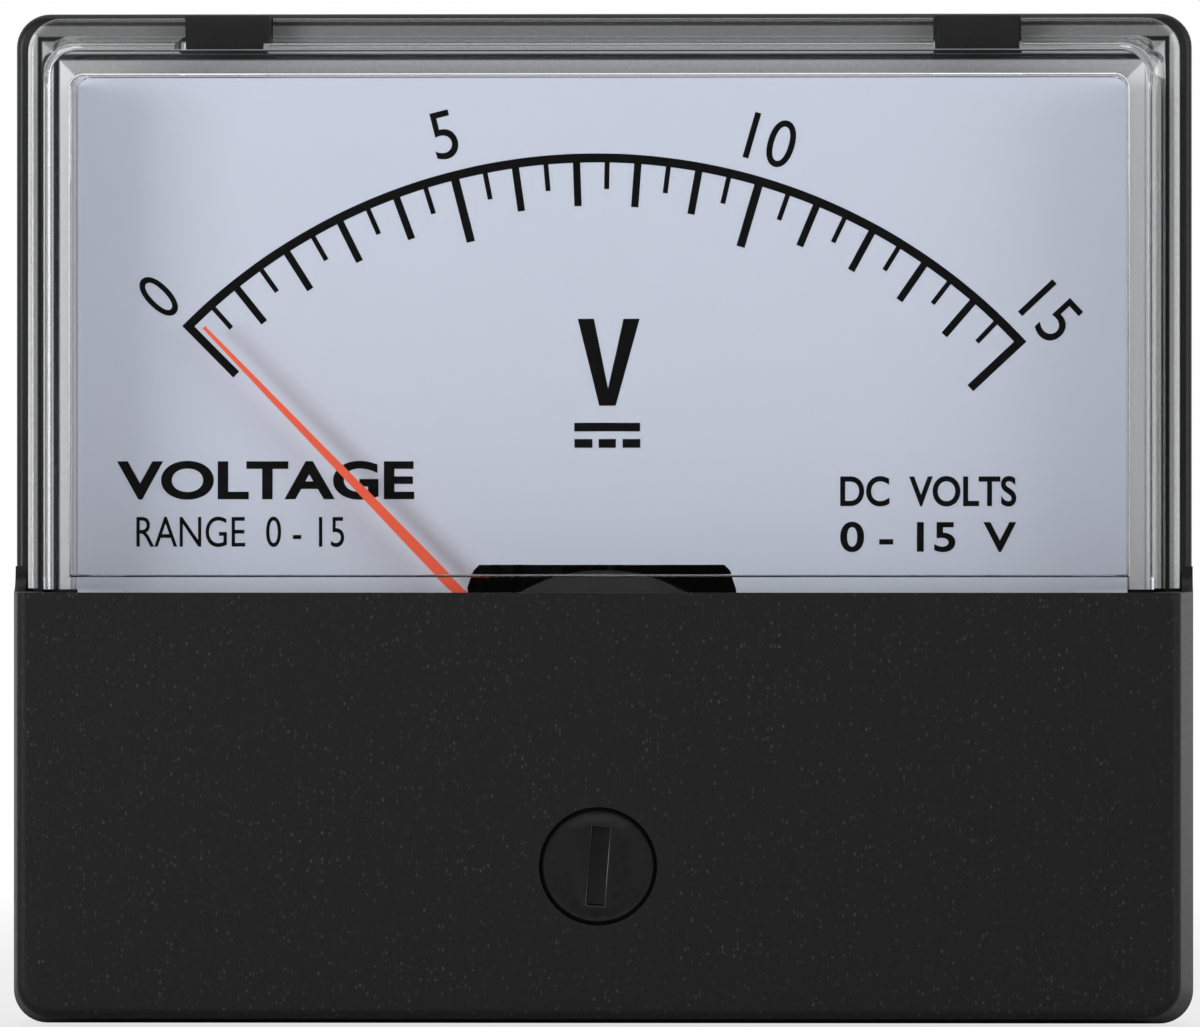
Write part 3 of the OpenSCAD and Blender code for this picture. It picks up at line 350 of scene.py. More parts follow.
def window_plastic(look):
    """Clear plastic that lets light through to what is behind it, with white frosted bands on its foot and rim as
    a painted reflection of the white surround.
    """
    finish = Finish(
        "clear_plastic", look.window_tint, 0.0, Transmission_Weight=1.0, IOR=1.49, Specular_IOR_Level=0.5
    )
    split = finish.add("ShaderNodeSeparateXYZ", {0: finish.place})
    across = finish.math("ABSOLUTE", split.outputs["X"])
    side = finish.math("SUBTRACT", across, DIAL_HIGH.x + DIAL_GAP)
    top = finish.math("SUBTRACT", split.outputs["Z"], DIAL_HIGH.z + DIAL_GAP)
    outward = finish.span(finish.math("MAXIMUM", side, top), 0, FOOT_WIDTH, 0, 1)
    ramp = finish.add("ShaderNodeValToRGB", {"Fac": outward})
    for element, (position, reflection_level) in zip(ramp.color_ramp.elements, (FOOT_REFLECTION_BANDS[0], FOOT_REFLECTION_BANDS[-1])):
        element.position, element.color = position, (reflection_level, reflection_level, reflection_level, 1)
    for position, reflection_level in FOOT_REFLECTION_BANDS[1:-1]:
        ramp.color_ramp.elements.new(position).color = (reflection_level, reflection_level, reflection_level, 1)
    foot_front = WINDOW_HIGH.y - FOOT_DEPTH
    foot = finish.span(split.outputs["Y"], foot_front - BLUR, foot_front + BLUR, 0, 1)
    # The painted reflection bands are half as strong along the top, so the top reads darker.
    upper = finish.span(finish.math("SUBTRACT", top, side), -BLUR, BLUR, 1, 0.5)
    speckle = finish.span(finish.noise(0.22 * MM, detail=3.0, roughness=0.7), 0.35, 0.65, 0.85, 1)
    reflection_level = finish.math("MULTIPLY", finish.math("MULTIPLY", foot, ramp.outputs["Color"]), upper)
    # Painted reflection: where the frost is high the plastic turns white and diffuse, standing in for the white
    # surround seen in the walls.
    reflection_frost = finish.math("MULTIPLY", reflection_level, speckle)
    finish.link(finish.math("SUBTRACT", 1.0, reflection_frost), "Transmission Weight")
    finish.link(finish.math("MULTIPLY", reflection_frost, 0.35), "Roughness")
    wave = finish.noise(4 * MM, detail=1.0)
    finish.link(finish.bump(wave, 0.012 * MM, 0.5), "Normal")
    path = finish.add("ShaderNodeLightPath")
    inner = finish.math("COMPARE", side, 0.0)
    inner.node.inputs[2].default_value = DIAL_GAP
    deep = finish.math("GREATER_THAN", split.outputs["Y"], WINDOW_LOW.y + 1 * MM)
    wall = finish.math("MULTIPLY", inner, deep)
    passed = finish.mix(wall, look.window_tint, [channel * 0.4 for channel in look.window_tint])
    clear = finish.add("ShaderNodeBsdfTransparent", {"Color": passed})
    lit = finish.math("MAXIMUM", path.outputs["Is Shadow Ray"], path.outputs["Is Diffuse Ray"])
    mixed = finish.add("ShaderNodeMixShader", {0: lit, 1: finish.shader.outputs[0], 2: clear.outputs[0]})
    finish.tree.links.new(mixed.outputs[0], finish.output.inputs["Surface"])
    return finish.material


def dial_paint(look):
    finish = Finish("dial_enamel", look.dial_colour, 0.38)
    broad = finish.noise(12 * MM, detail=1.0)
    finish.vary(look.dial_colour, broad, 0.012)
    finish.link(finish.bump(finish.noise(0.35 * MM, detail=2.0), 0.0015 * MM), "Normal")
    finish.link(finish.span(finish.noise(0.8 * MM), 0.3, 0.7, 0.34, 0.42), "Roughness")
    return finish.material


def ink(look):
    finish = Finish("printed_ink", look.ink_colour, 0.6, Specular_IOR_Level=0.05)
    finish.vary(look.ink_colour, finish.noise(0.3 * MM), 0.3)
    finish.link(finish.bump(finish.noise(0.08 * MM), 0.002 * MM), "Normal")
    return finish.material


def pointer_paint(look):
    finish = Finish("pointer_enamel", look.pointer_colour, 0.4, Specular_IOR_Level=0.3)
    finish.vary(look.pointer_colour, finish.noise(1.5 * MM), 0.06)
    finish.link(finish.bump(finish.noise(0.2 * MM), 0.003 * MM), "Normal")
    return finish.material


def metal(name, colour, roughness, grain, along=None):
    """Metal with rolled, turned or cast grain; along squeezes the grain by axis."""
    finish = Finish(name, colour, roughness, metallic=1.0)
    place = finish.stretched(along) if along else finish.place
    lines = finish.noise(grain, detail=4.0, roughness=0.6, place=place)
    finish.vary(colour, finish.noise(3 * MM, detail=3.0), 0.12)
    finish.link(finish.span(lines, 0.3, 0.7, roughness * 0.8, roughness * 1.3), "Roughness")
    finish.link(finish.bump(lines, 0.004 * MM), "Normal")
    return finish.material


def dull(name, colour, roughness, grain, depth, spread=0.2):
    """Dull surface with an even grain: rubber, lacquer, dark iron or sleeving."""
    finish = Finish(name, colour, roughness)
    texture = finish.noise(grain, detail=3.0)
    finish.vary(colour, texture, spread)
    finish.link(finish.bump(texture, depth), "Normal")
    return finish.material


def winding():
    """Enamelled copper wire, side by side."""
    copper = (0.55, 0.2, 0.07)
    finish = Finish("enamelled_wire", copper, 0.28, metallic=0.6, Coat_Weight=0.6)
    turns = finish.add(
        "ShaderNodeTexWave", {"Vector": finish.place, "Scale": 1 / (0.5 * MM), "Distortion": 0.4}
    ).outputs["Fac"]
    finish.vary(copper, turns, 0.35)
    finish.link(finish.bump(turns, 0.03 * MM), "Normal")
    return finish.material


def resistor_lacquer():
    """Pale blue lacquer with colour bands along the body."""
    blue = (0.25, 0.42, 0.55)
    finish = Finish("resistor_lacquer", blue, 0.35)
    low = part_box("series_resistor")[0]
    middle, half = (low.x + 0.3 * MM) / 2, 3 * MM
    lengthwise = finish.add("ShaderNodeSeparateXYZ", {0: finish.place}).outputs["X"]
    place = finish.span(lengthwise, middle - half, middle + half, 0, 1)
    ramp = finish.add("ShaderNodeValToRGB", {"Fac": place})
    ramp.color_ramp.interpolation = "CONSTANT"
    bands = ((0.1, (0.45, 0.06, 0.02)), (0.2, blue), (0.32, (0.02, 0.12, 0.03)), (0.42, blue))
    bands += ((0.55, (0.01, 0.01, 0.01)), (0.65, blue), (0.85, (0.4, 0.28, 0.05)), (0.93, blue))
    ramp.color_ramp.elements[0].color = (*blue, 1)
    ramp.color_ramp.elements[1].position = 1.0
    ramp.color_ramp.elements[1].color = (*blue, 1)
    for position, colour in bands:
        ramp.color_ramp.elements.new(position).color = (*colour, 1)
    finish.link(ramp.outputs["Color"], "Base Color")
    finish.link(finish.bump(finish.noise(0.4 * MM), 0.02 * MM), "Normal")
    return finish.material


def plain_finishes():
    """Finishes of the pieces behind the dial and the covers, by material slot."""
    return {
        "plated_steel": metal("plated_steel", (0.56, 0.55, 0.52), 0.3, 0.12 * MM),
        "brass": metal("brass", (0.72, 0.53, 0.24), 0.26, 0.1 * MM, along=(1, 6, 1)),
        # The zinc casting is coloured near black, so the movement seen through the dial's notch reads dark.
        "zinc_casting": dull("near_black_zinc_casting", (0.022, 0.02, 0.02), 0.5, 0.3 * MM, 0.02 * MM),
        "spring_bronze": metal("spring_bronze", (0.62, 0.36, 0.18), 0.3, 0.1 * MM, along=(1, 8, 1)),
        "aluminium": metal("aluminium", (0.75, 0.75, 0.77), 0.35, 0.1 * MM, along=(1, 1, 6)),
        "pivot_steel": metal("pivot_steel", (0.6, 0.6, 0.62), 0.18, 0.1 * MM, along=(1, 6, 1)),
        "tinned_brass": metal("tinned_brass", (0.66, 0.65, 0.62), 0.35, 0.4 * MM),
        "magnet": metal("magnet_alloy", (0.24, 0.24, 0.26), 0.45, 0.15 * MM, along=(1, 6, 1)),
        "soft_iron": dull("phosphated_iron", (0.03, 0.03, 0.032), 0.6, 0.15 * MM, 0.01 * MM),
        "stop_rubber": dull("stop_rubber", (0.015, 0.015, 0.015), 0.7, 0.1 * MM, 0.01 * MM),
        "wire_sleeve": dull("wire_sleeve", (0.4, 0.02, 0.015), 0.45, 0.5 * MM, 0.01 * MM),
        "copper_winding": winding(),
        "resistor_body": resistor_lacquer(),
    }


def paint(obj, material):
    """Gives obj one material; a CAD node keeps its mesh and takes it on its own slots."""
    if not obj.material_slots:
        obj.data.materials.append(material)
        return
    for material_slot in obj.material_slots:
        material_slot.link = "OBJECT"
        material_slot.material = material


# ---- mesh helpers ----


def new_piece(name, bm, slot_name, body="case", smooth=True):
    """Finishes a bmesh as a piece with its slot's finish, riding on a body."""
    mesh = bpy.data.meshes.new(name)
    bmesh.ops.remove_doubles(bm, verts=bm.verts, dist=WELD)
    bmesh.ops.recalc_face_normals(bm, faces=bm.faces)
    for face in bm.faces:
        face.smooth = smooth
    for edge in bm.edges:
        edge.smooth = edge.calc_face_angle(0) < CREASE
    bm.to_mesh(mesh)
    bm.free()
    piece = bpy.data.objects.new(name, mesh)
    bpy.context.scene.collection.objects.link(piece)
    paint(piece, FINISHES[slot_name])
    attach(piece, body)
    return piece


def merged_copy(node):
    """The CAD node's triangles as a bmesh with its doubles merged."""
    bm = bmesh.new()
    bm.from_mesh(frame["nodes"][node].data)
    bmesh.ops.remove_doubles(bm, verts=bm.verts, dist=WELD)
    bmesh.ops.dissolve_degenerate(bm, edges=bm.edges, dist=WELD)
    return bm


def round_edges(bm, wanted, width, segments=3):
    """Rounds the edges that wanted picks."""
    bmesh.ops.dissolve_limit(bm, angle_limit=FLAT, verts=bm.verts, edges=bm.edges)
    edges = [edge for edge in bm.edges if edge.calc_face_angle(0) > CORNER and wanted(edge)]
    bmesh.ops.bevel(
        bm, geom=edges, offset=width, segments=segments, profile=0.5, affect="EDGES", material=-1
    )


def stand_in(node, name, bm, slot_name, body="case"):
    """Puts a finished copy of a CAD node in its place, shaded evenly."""
    piece = new_piece(name, bm, slot_name, body)
    normals = piece.data.attributes.get("custom_normal")
    if normals:
        piece.data.attributes.remove(normals)
    weighted = piece.modifiers.new("even_normals", "WEIGHTED_NORMAL")
    weighted.weight = 100
    weighted.keep_sharp = True
    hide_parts(node)
    return piece


def along(edge, axis, place):
    """Whether both ends of an edge lie at a place along an axis."""
    return all(abs(abs(vert.co[axis]) - abs(place)) < NEAR for vert in edge.verts)


def thicken(bm, faces, depth):
    """Grows flat faces into a thin closed layer towards the front."""
    grown = bmesh.ops.extrude_face_region(bm, geom=faces)
    verts = [item for item in grown["geom"] if isinstance(item, bmesh.types.BMVert)]
    bmesh.ops.translate(bm, verts=verts, vec=(0, -depth, 0))


def add_outline(bm, points, y, depth):
    """Thin layer with a flat outline of (x, z) points."""
    face = bm.faces.new([bm.verts.new((x, y, z)) for x, z in points])
    thicken(bm, [face], depth)


def add_bar(bm, size, middle, turn=0.0, about=None):
    """Thin box of size (x, y, z), turned clockwise about a point of the dial."""
    made = bmesh.ops.create_cube(bm, size=1.0)["verts"]
    bmesh.ops.scale(bm, verts=made, vec=size)
    bmesh.ops.translate(bm, verts=made, vec=middle)
    if turn:
        bmesh.ops.rotate(bm, verts=made, cent=about, matrix=Matrix.Rotation(turn, 3, "Y"))


def add_text(bm, text, size, middle, depth, turn=0.0, weight=0.0):
    """Letters fitted to a box of size (width, height) round a point of the dial."""
    curve = bpy.data.curves.new("lettering", "FONT")
    curve.body, curve.offset = text, weight
    holder = bpy.data.objects.new("lettering", curve)
    bpy.context.scene.collection.objects.link(holder)
    bpy.context.view_layer.update()
    letters = bmesh.new()
    letters.from_mesh(holder.evaluated_get(bpy.context.evaluated_depsgraph_get()).to_mesh())
    bpy.data.objects.remove(holder)
    bpy.data.curves.remove(curve)
    xs, ys = ([vert.co[axis] for vert in letters.verts] for axis in (0, 1))
    centre = Vector(((min(xs) + max(xs)) / 2, (min(ys) + max(ys)) / 2, 0))
    scale = (size[0] / (max(xs) - min(xs)), size[1] / (max(ys) - min(ys)), 1)
    bmesh.ops.translate(letters, verts=letters.verts, vec=-centre)
    bmesh.ops.scale(letters, verts=letters.verts, vec=scale)
    upright = Matrix.Rotation(turn, 4, "Y") @ Matrix.Rotation(math.pi / 2, 4, "X")
    bmesh.ops.transform(letters, verts=letters.verts, matrix=Matrix.Translation(middle) @ upright)
    thicken(letters, letters.faces[:], depth)
    mesh = bpy.data.meshes.new("lettering")
    letters.to_mesh(mesh)
    letters.free()
    bm.from_mesh(mesh)
    bpy.data.meshes.remove(mesh)


def add_thread(bm, thread, start, end, x, z):
    """Threaded rod along Y from start to end, with its last turn chamfered."""
    radius, pitch, depth = thread
    turns = math.ceil((end - start) / pitch) + 2
    origin = Vector((x, start - pitch, z))
    rod = bmesh.new()
    flank = [(radius - depth, 0), (radius, 0.42), (radius, 0.58), (radius - depth, 1)]
    verts = [rod.verts.new(origin + Vector((r, part * pitch, 0))) for r, part in flank]
    edges = [rod.edges.new(pair) for pair in zip(verts, verts[1:])]
    bmesh.ops.spin(
        rod,
        geom=verts + edges,
        cent=origin,
        axis=(0, 1, 0),
        dvec=(0, pitch / THREAD_STEPS, 0),
        angle=2 * math.pi * turns,
        steps=THREAD_STEPS * turns,
    )
    bmesh.ops.remove_doubles(rod, verts=rod.verts, dist=0.002 * MM)
    for height, side in ((start, -1), (end, 1)):
        everything = rod.verts[:] + rod.edges[:] + rod.faces[:]
        bmesh.ops.bisect_plane(
            rod, geom=everything, plane_co=(x, height, z), plane_no=(0, side, 0), clear_outer=True
        )
    bmesh.ops.holes_fill(rod, edges=[edge for edge in rod.edges if edge.is_boundary], sides=0)
    for vert in rod.verts:
        across = Vector((vert.co.x - x, 0, vert.co.z - z))
        allowed = radius - THREAD_CHAMFER + max(0.0, end - vert.co.y)
        if across.length > allowed:
            across = across * (allowed / across.length)
            vert.co.x, vert.co.z = x + across.x, z + across.z
    mesh = bpy.data.meshes.new("rod")
    rod.to_mesh(mesh)
    rod.free()
    bm.from_mesh(mesh)
    bpy.data.meshes.remove(mesh)


# ---- dial ----


def scale_lines(settings):
    """Turn, width and length of every line of the scale."""
    count = settings.scale_end * 2
    for index in range(count + 1):
        turn = settings.arc_start + settings.arc_sweep * index / count
        if index % (2 * settings.major_step) == 0:
            yield turn, *NUMBERED_LINE
        elif index % 2 == 0:
            yield turn, *WHOLE_LINE
        else:
            yield turn, *HALF_LINE


def arc_centre(settings):
    return Vector((PIVOT.x + settings.arc_shift, DIAL_LOW.y, PIVOT.z))


class METER_OT_dial_scale(bpy.types.Operator):
    """Print the arc and its lines"""

    bl_idname = "meter.dial_scale"
    bl_label = "Dial Scale"

    def execute(self, context):
        settings = context.scene.meter_print
        centre = arc_centre(settings)
        depth = settings.ink_thickness
        outer, inner = settings.arc_radius, settings.arc_radius - settings.arc_width
        half_line = NUMBERED_LINE[0] / 2 / outer
        bm = bmesh.new()
        start = Matrix.Rotation(settings.arc_start - half_line, 3, "Y")
        ends = [bm.verts.new(centre + start @ Vector((0, 0, radius))) for radius in (inner, outer)]
        bmesh.ops.spin(
            bm,
            geom=ends + [bm.edges.new(ends)],
            cent=centre,
            axis=(0, 1, 0),
            angle=settings.arc_sweep + 2 * half_line,
            steps=180,
        )
        thicken(bm, bm.faces[:], depth)
        for turn, width, length in scale_lines(settings):
            size = (width, depth * 0.9, length - settings.arc_width / 2)
            middle = centre + Vector((0, -depth * 0.45, outer - (length + settings.arc_width / 2) / 2))
            add_bar(bm, size, middle, turn, centre)
        new_piece("dial_scale", bm, "dial_print", smooth=False)
        return {"FINISHED"}


class METER_OT_dial_numbers(bpy.types.Operator):
    """Print the numbers of the scale"""

    bl_idname = "meter.dial_numbers"
    bl_label = "Dial Numbers"

    def execute(self, context):
        settings = context.scene.meter_print
        centre = arc_centre(settings)
        height = settings.numeral_height
        bm = bmesh.new()
        for reading in range(0, settings.scale_end + 1, settings.major_step):
            turn = settings.arc_start + settings.arc_sweep * reading / settings.scale_end
            outward = Matrix.Rotation(turn, 3, "Y") @ Vector((0, 0, settings.numeral_radius))
            text = str(reading)
            size = (height * NUMERAL_WIDTHS[len(text) - 1], height)
            add_text(bm, text, size, centre + outward, settings.ink_thickness, turn)
        new_piece("dial_numbers", bm, "dial_print", smooth=False)
        return {"FINISHED"}


class METER_OT_dial_unit(bpy.types.Operator):
    """Print the unit and the direct-current sign"""

    bl_idname = "meter.dial_unit"
    bl_label = "Dial Unit"

    def execute(self, context):
        depth = context.scene.meter_print.ink_thickness
        y = DIAL_LOW.y
        bm = bmesh.new()
        letter = [(-1.42, 11.75), (-0.47, 11.75), (0.37, 7.62), (1.29, 11.75), (2.24, 11.75)]
        letter += [(0.82, 6.61), (-0.15, 6.61)]
        add_outline(bm, [(x * MM, z * MM) for x, z in letter], y, depth)
        bars = [(-1.63, 2.27, 5.09, 5.60)]
        bars += [(left, right, 4.12, 4.64) for left, right in ((-1.62, -0.55), (-0.18, 0.83), (1.23, 2.28))]
        for left, right, bottom, top in bars:
            size = ((right - left) * MM, depth, (top - bottom) * MM)
            add_bar(bm, size, ((left + right) / 2 * MM, y - depth / 2, (bottom + top) / 2 * MM))
        new_piece("dial_unit", bm, "dial_print", smooth=False)
        return {"FINISHED"}


class METER_OT_dial_marks(bpy.types.Operator):
    """Print the plain lettering in the lower corners"""

    bl_idname = "meter.dial_marks"
    bl_label = "Dial Marks"

    def execute(self, context):
        depth = context.scene.meter_print.ink_thickness
        y = DIAL_LOW.y
        bm = bmesh.new()
        words = (
            ("VOLTAGE", (17.6, 2.3), (-19.9, 2.2), 0.03),
            ("RANGE  0 - 15", (12.3, 1.8), (-21.4, -0.85), 0.0),
            ("DC  VOLTS", (10.4, 1.8), (19.3, 1.55), 0.02),
            ("0 - 15  V", (10.4, 1.8), (19.3, -1.15), 0.02),
        )
        for text, (width, height), (x, z), weight in words:
            size = (width * MM, height * MM)
            add_text(bm, text, size, Vector((x * MM, y, z * MM)), depth, weight=weight)
        new_piece("dial_marks", bm, "dial_print", smooth=False)
        return {"FINISHED"}


# ---- housing and inside ----


class METER_OT_finishes(bpy.types.Operator):
    """Make every finish and give it to the CAD nodes"""

    bl_idname = "meter.finishes"
    bl_label = "Finishes"

    def execute(self, context):
        look = context.scene.meter_finish
        FINISHES.update(plain_finishes())
        FINISHES["base_plastic"] = base_plastic(look)
        FINISHES["cover_plastic"] = cover_plastic(look)
        FINISHES["adjuster_plastic"] = adjuster_plastic(look)
        FINISHES["window_plastic"] = window_plastic(look)
        FINISHES["dial_paint"] = dial_paint(look)
        FINISHES["dial_print"] = ink(look)
        FINISHES["pointer_paint"] = pointer_paint(look)
        for slot_name, nodes in NODES_BY_SLOT.items():
            for node in nodes:
                paint(frame["nodes"][node], FINISHES[slot_name])
        return {"FINISHED"}


class METER_OT_mouldings(bpy.types.Operator):
    """Smooth the rounded edges of the base and the lower cover"""

    bl_idname = "meter.mouldings"
    bl_label = "Base and Lower Cover"

    def execute(self, context):
        stand_in("base", "housing_base", merged_copy("base"), "base_plastic")
        stand_in("lower_cover", "front_lower_cover", merged_copy("lower_cover"), "cover_plastic")
        return {"FINISHED"}


class METER_OT_window(bpy.types.Operator):
    """Fillet the inner corners of the clear window"""

    bl_idname = "meter.window"
    bl_label = "Window"

    def execute(self, context):
        bm = merged_copy("window_cover")
        pane_back = WINDOW_LOW.y + PANE
        round_edges(bm, lambda edge: along(edge, 1, pane_back), WINDOW_FILLET)
        stand_in("window_cover", "front_window", bm, "window_plastic")
        return {"FINISHED"}


class METER_OT_dial(bpy.types.Operator):
    """Roll the painted edge of the dial"""

    bl_idname = "meter.dial"
    bl_label = "Dial"

    def execute(self, context):
        bm = merged_copy("dial_plate")
        for vert in bm.verts:
            if DIAL_HIGH.x - abs(vert.co.x) < NEAR:
                vert.co.x += math.copysign(DIAL_GROWTH, vert.co.x)
            if DIAL_HIGH.z - vert.co.z < NEAR:
                vert.co.z += DIAL_GROWTH
        edge_x, edge_z = DIAL_HIGH.x + DIAL_GROWTH, DIAL_HIGH.z + DIAL_GROWTH

        def rolled_edge(edge):
            return along(edge, 1, DIAL_LOW.y) and (along(edge, 0, edge_x) or along(edge, 2, edge_z))

        round_edges(bm, rolled_edge, DIAL_ROUND)
        stand_in("dial_plate", "dial_face", bm, "dial_paint")
        return {"FINISHED"}


class METER_OT_adjuster(bpy.types.Operator):
    """Break the edges of the adjuster's slot"""

    bl_idname = "meter.adjuster"
    bl_label = "Zero Adjuster"

    def execute(self, context):
        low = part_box("zero_screw")[0]
        bm = merged_copy("zero_screw")

        def slot_edge(edge):
            inside = all(math.hypot(*(vert.co - ADJUSTER).xz) < SLOT_REACH for vert in edge.verts)
            return inside and all(vert.co.y < low.y + SLOT_RIM for vert in edge.verts)

        round_edges(bm, slot_edge, SLOT_ROUND, segments=4)
        stand_in("zero_screw", "adjuster_screw", bm, "adjuster_plastic", "zero_adjuster")
        return {"FINISHED"}


class METER_OT_threads(bpy.types.Operator):
    """Cut real threads on the mounting studs and the terminals"""

    bl_idname = "meter.threads"
    bl_label = "Threads"

    def execute(self, context):
        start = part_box("terminal_nuts")[1].y - THREAD_UNDER_NUT
        self.rods("mounting_studs", "threaded_mounting_studs", "plated_steel", STUD_THREAD, 0)
        self.rods("terminal_studs", "threaded_terminals", "brass", TERMINAL_THREAD, start)
        return {"FINISHED"}

    def rods(self, node, name, slot_name, thread, start):
        """Keeps the node's inner part and puts a threaded rod where each plain end was."""
        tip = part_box(node)[1].y
        bm = merged_copy(node)
        everything = bm.verts[:] + bm.edges[:] + bm.faces[:]
        bmesh.ops.bisect_plane(
            bm, geom=everything, plane_co=(0, start, 0), plane_no=(0, 1, 0), clear_outer=True
        )
        bmesh.ops.holes_fill(bm, edges=[edge for edge in bm.edges if edge.is_boundary], sides=0)
        for x, z in stud_places(node, tip):
            add_thread(bm, thread, start, tip, x, z)
        stand_in(node, name, bm, slot_name)


def stud_places(node, tip):
    """Middles of the rods that end at tip, from the CAD node's own end faces."""
    near = [v.co for v in frame["nodes"][node].data.vertices if tip - v.co.y < NEAR]
    places = []
    for co in near:
        for group in places:
            if (group[0] - co).length < 5 * MM:
                group.append(co)
                break
        else:
            places.append([co])
    middles = [sum(group, Vector()) / len(group) for group in places]
    return [(middle.x, middle.z) for middle in middles]


# ---- studio ----


class METER_OT_studio(bpy.types.Operator):
    """Set the camera, the light, the backdrop and the floor"""

    bl_idname = "meter.studio"
    bl_label = "Studio"

    def execute(self, context):
        settings = context.scene.meter_studio
        self.camera(context.scene, settings)
        self.world(context.scene, settings)
        self.lamps(context.scene, settings)
        self.floor(context.scene)
        context.scene.view_settings.view_transform = "Standard"
        return {"FINISHED"}

    def camera(self, scene, settings):
        data = bpy.data.cameras.new("camera")
        data.sensor_width = 36
        data.lens = 36 * settings.camera_distance / settings.view_width
        data.clip_start, data.clip_end = 0.01, 20
        camera = bpy.data.objects.new("camera", data)
        turn = settings.camera_turn
        back = Vector((math.sin(turn), -math.cos(turn), 0))
        camera.location = Vector(settings.aim) + back * settings.camera_distance
        camera.rotation_euler = (math.pi / 2, 0, turn)
        scene.collection.objects.link(camera)
        scene.camera = camera

    def world(self, scene, settings):
        """White all round and behind, as in a light tent, and dim where the camera stands."""
        world = bpy.data.worlds.new("studio")
        world.use_nodes = True
        tree = world.node_tree
        tree.nodes.clear()
        path = tree.nodes.new("ShaderNodeLightPath")
        split = tree.nodes.new("ShaderNodeSeparateXYZ")
        tree.links.new(tree.nodes.new("ShaderNodeTexCoord").outputs["Generated"], split.inputs[0])
        tent = tree.nodes.new("ShaderNodeMapRange")
        tree.links.new(split.outputs["Y"], tent.inputs["Value"])
        for name, value in (("From Min", -0.6), ("From Max", 0.05), ("To Min", 0.02), ("To Max", 1.0)):
            tent.inputs[name].default_value = value
        seen = tree.nodes.new("ShaderNodeMix")
        seen.data_type = "FLOAT"
        seen.inputs[2].default_value = settings.ambient
        mirrored = tree.nodes.new("ShaderNodeMath")
        mirrored.operation = "MAXIMUM"
        tree.links.new(path.outputs["Is Glossy Ray"], mirrored.inputs[0])
        tree.links.new(path.outputs["Is Transmission Ray"], mirrored.inputs[1])
        tree.links.new(mirrored.outputs[0], seen.inputs[0])
        tree.links.new(tent.outputs[0], seen.inputs[3])
        shown = tree.nodes.new("ShaderNodeMix")
        shown.data_type = "FLOAT"
        tree.links.new(path.outputs["Is Camera Ray"], shown.inputs[0])
        tree.links.new(seen.outputs[0], shown.inputs[2])
        shown.inputs[3].default_value = 1.0
        background = tree.nodes.new("ShaderNodeBackground")
        background.inputs["Color"].default_value = (1, 1, 1, 1)
        tree.links.new(shown.outputs[0], background.inputs["Strength"])
        output = tree.nodes.new("ShaderNodeOutputWorld")
        tree.links.new(background.outputs[0], output.inputs["Surface"])
        scene.world = world

    def lamps(self, scene, settings):
        lamps = (
            ("key_light", (-0.40, -0.50, -0.02), 0.3, settings.key_power),
            ("fill_light", (0.44, -0.42, 0.02), 0.36, settings.fill_power),
            ("top_light", (0.0, -0.2, 0.6), 0.3, settings.fill_power * 0.3),
        )
        for name, place, size, power in lamps:
            data = bpy.data.lights.new(name, "AREA")
            data.size, data.energy = size, power
            lamp = bpy.data.objects.new(name, data)
            lamp.location = place
            lamp.rotation_euler = (-Vector(place)).to_track_quat("-Z", "Y").to_euler()
            scene.collection.objects.link(lamp)

    def floor(self, scene):
        """White paper that keeps the shadow near the meter and fades into the backdrop."""
        bm = bmesh.new()
        bmesh.ops.create_circle(bm, cap_ends=True, segments=96, radius=FLOOR_RADIUS)
        bmesh.ops.translate(bm, verts=bm.verts, vec=(0, 0, CAD_BOX[0].z))
        mesh = bpy.data.meshes.new("floor")
        bm.to_mesh(mesh)
        bm.free()
        floor = bpy.data.objects.new("floor", mesh)
        scene.collection.objects.link(floor)
        paper = (0.84, 0.84, 0.84)
        finish = Finish("floor_paper", paper, 0.7)
        finish.vary(paper, finish.noise(0.1), 0.01)
        path = finish.add("ShaderNodeLightPath")
        white = finish.add("ShaderNodeEmission", {"Color": (1, 1, 1, 1), "Strength": 1.0})
        out = finish.add("ShaderNodeVectorMath", {0: finish.place}, operation="LENGTH").outputs["Value"]
        share = finish.math("MULTIPLY", path.outputs["Is Camera Ray"], finish.span(out, 0.1, 0.28, 0.75, 1))
        shaders = {0: share, 1: finish.shader.outputs[0], 2: white.outputs[0]}
        mixed = finish.add("ShaderNodeMixShader", shaders)
        finish.tree.links.new(mixed.outputs[0], finish.output.inputs["Surface"])
        paint(floor, finish.material)


# ---- add-on ----


class METER_PT_panel(bpy.types.Panel):
    """Buttons and sizes of the panel meter"""

    bl_label = "Panel Meter"
    bl_idname = "METER_PT_panel"
    bl_space_type = "VIEW_3D"
    bl_region_type = "UI"
    bl_category = "Meter"

    def draw(self, context):
        for operator in OPERATORS:
            self.layout.operator(operator.bl_idname)
        for name in ("meter_print", "meter_finish", "meter_studio"):
            group = getattr(context.scene, name)
            box = self.layout.box()
            for prop in group.bl_rna.properties:
                if prop.identifier not in ("rna_type", "name"):
                    box.prop(group, prop.identifier)


OPERATORS = (
    METER_OT_finishes,
    METER_OT_mouldings,
    METER_OT_window,
    METER_OT_dial,
    METER_OT_adjuster,
    METER_OT_dial_scale,
    METER_OT_dial_numbers,
    METER_OT_dial_unit,
    METER_OT_dial_marks,
    METER_OT_threads,
    METER_OT_studio,
)
CLASSES = (MeterPrint, MeterFinish, MeterStudio, *OPERATORS, METER_PT_panel)


def register():
    for cls in CLASSES:
        bpy.utils.register_class(cls)
    bpy.types.Scene.meter_print = bpy.props.PointerProperty(type=MeterPrint)
    bpy.types.Scene.meter_finish = bpy.props.PointerProperty(type=MeterFinish)
    bpy.types.Scene.meter_studio = bpy.props.PointerProperty(type=MeterStudio)


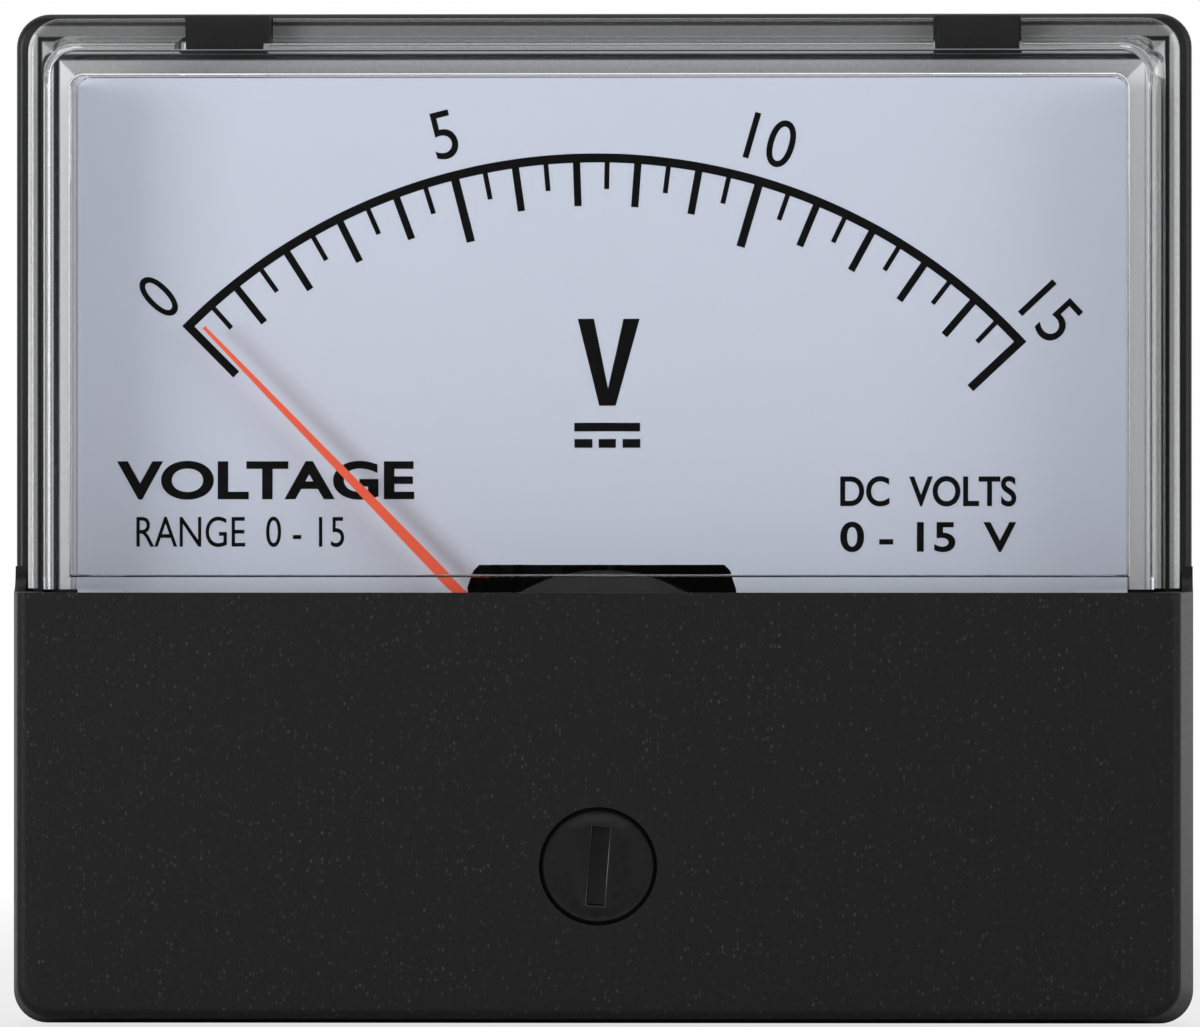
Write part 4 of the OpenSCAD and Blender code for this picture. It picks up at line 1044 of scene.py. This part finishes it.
def unregister():
    for name in ("meter_print", "meter_finish", "meter_studio"):
        delattr(bpy.types.Scene, name)
    for cls in reversed(CLASSES):
        bpy.utils.unregister_class(cls)


def main():
    register()
    for operator in OPERATORS:
        group, name = operator.bl_idname.split(".")
        getattr(getattr(bpy.ops, group), name)()


if __name__ == "__main__":
    main()
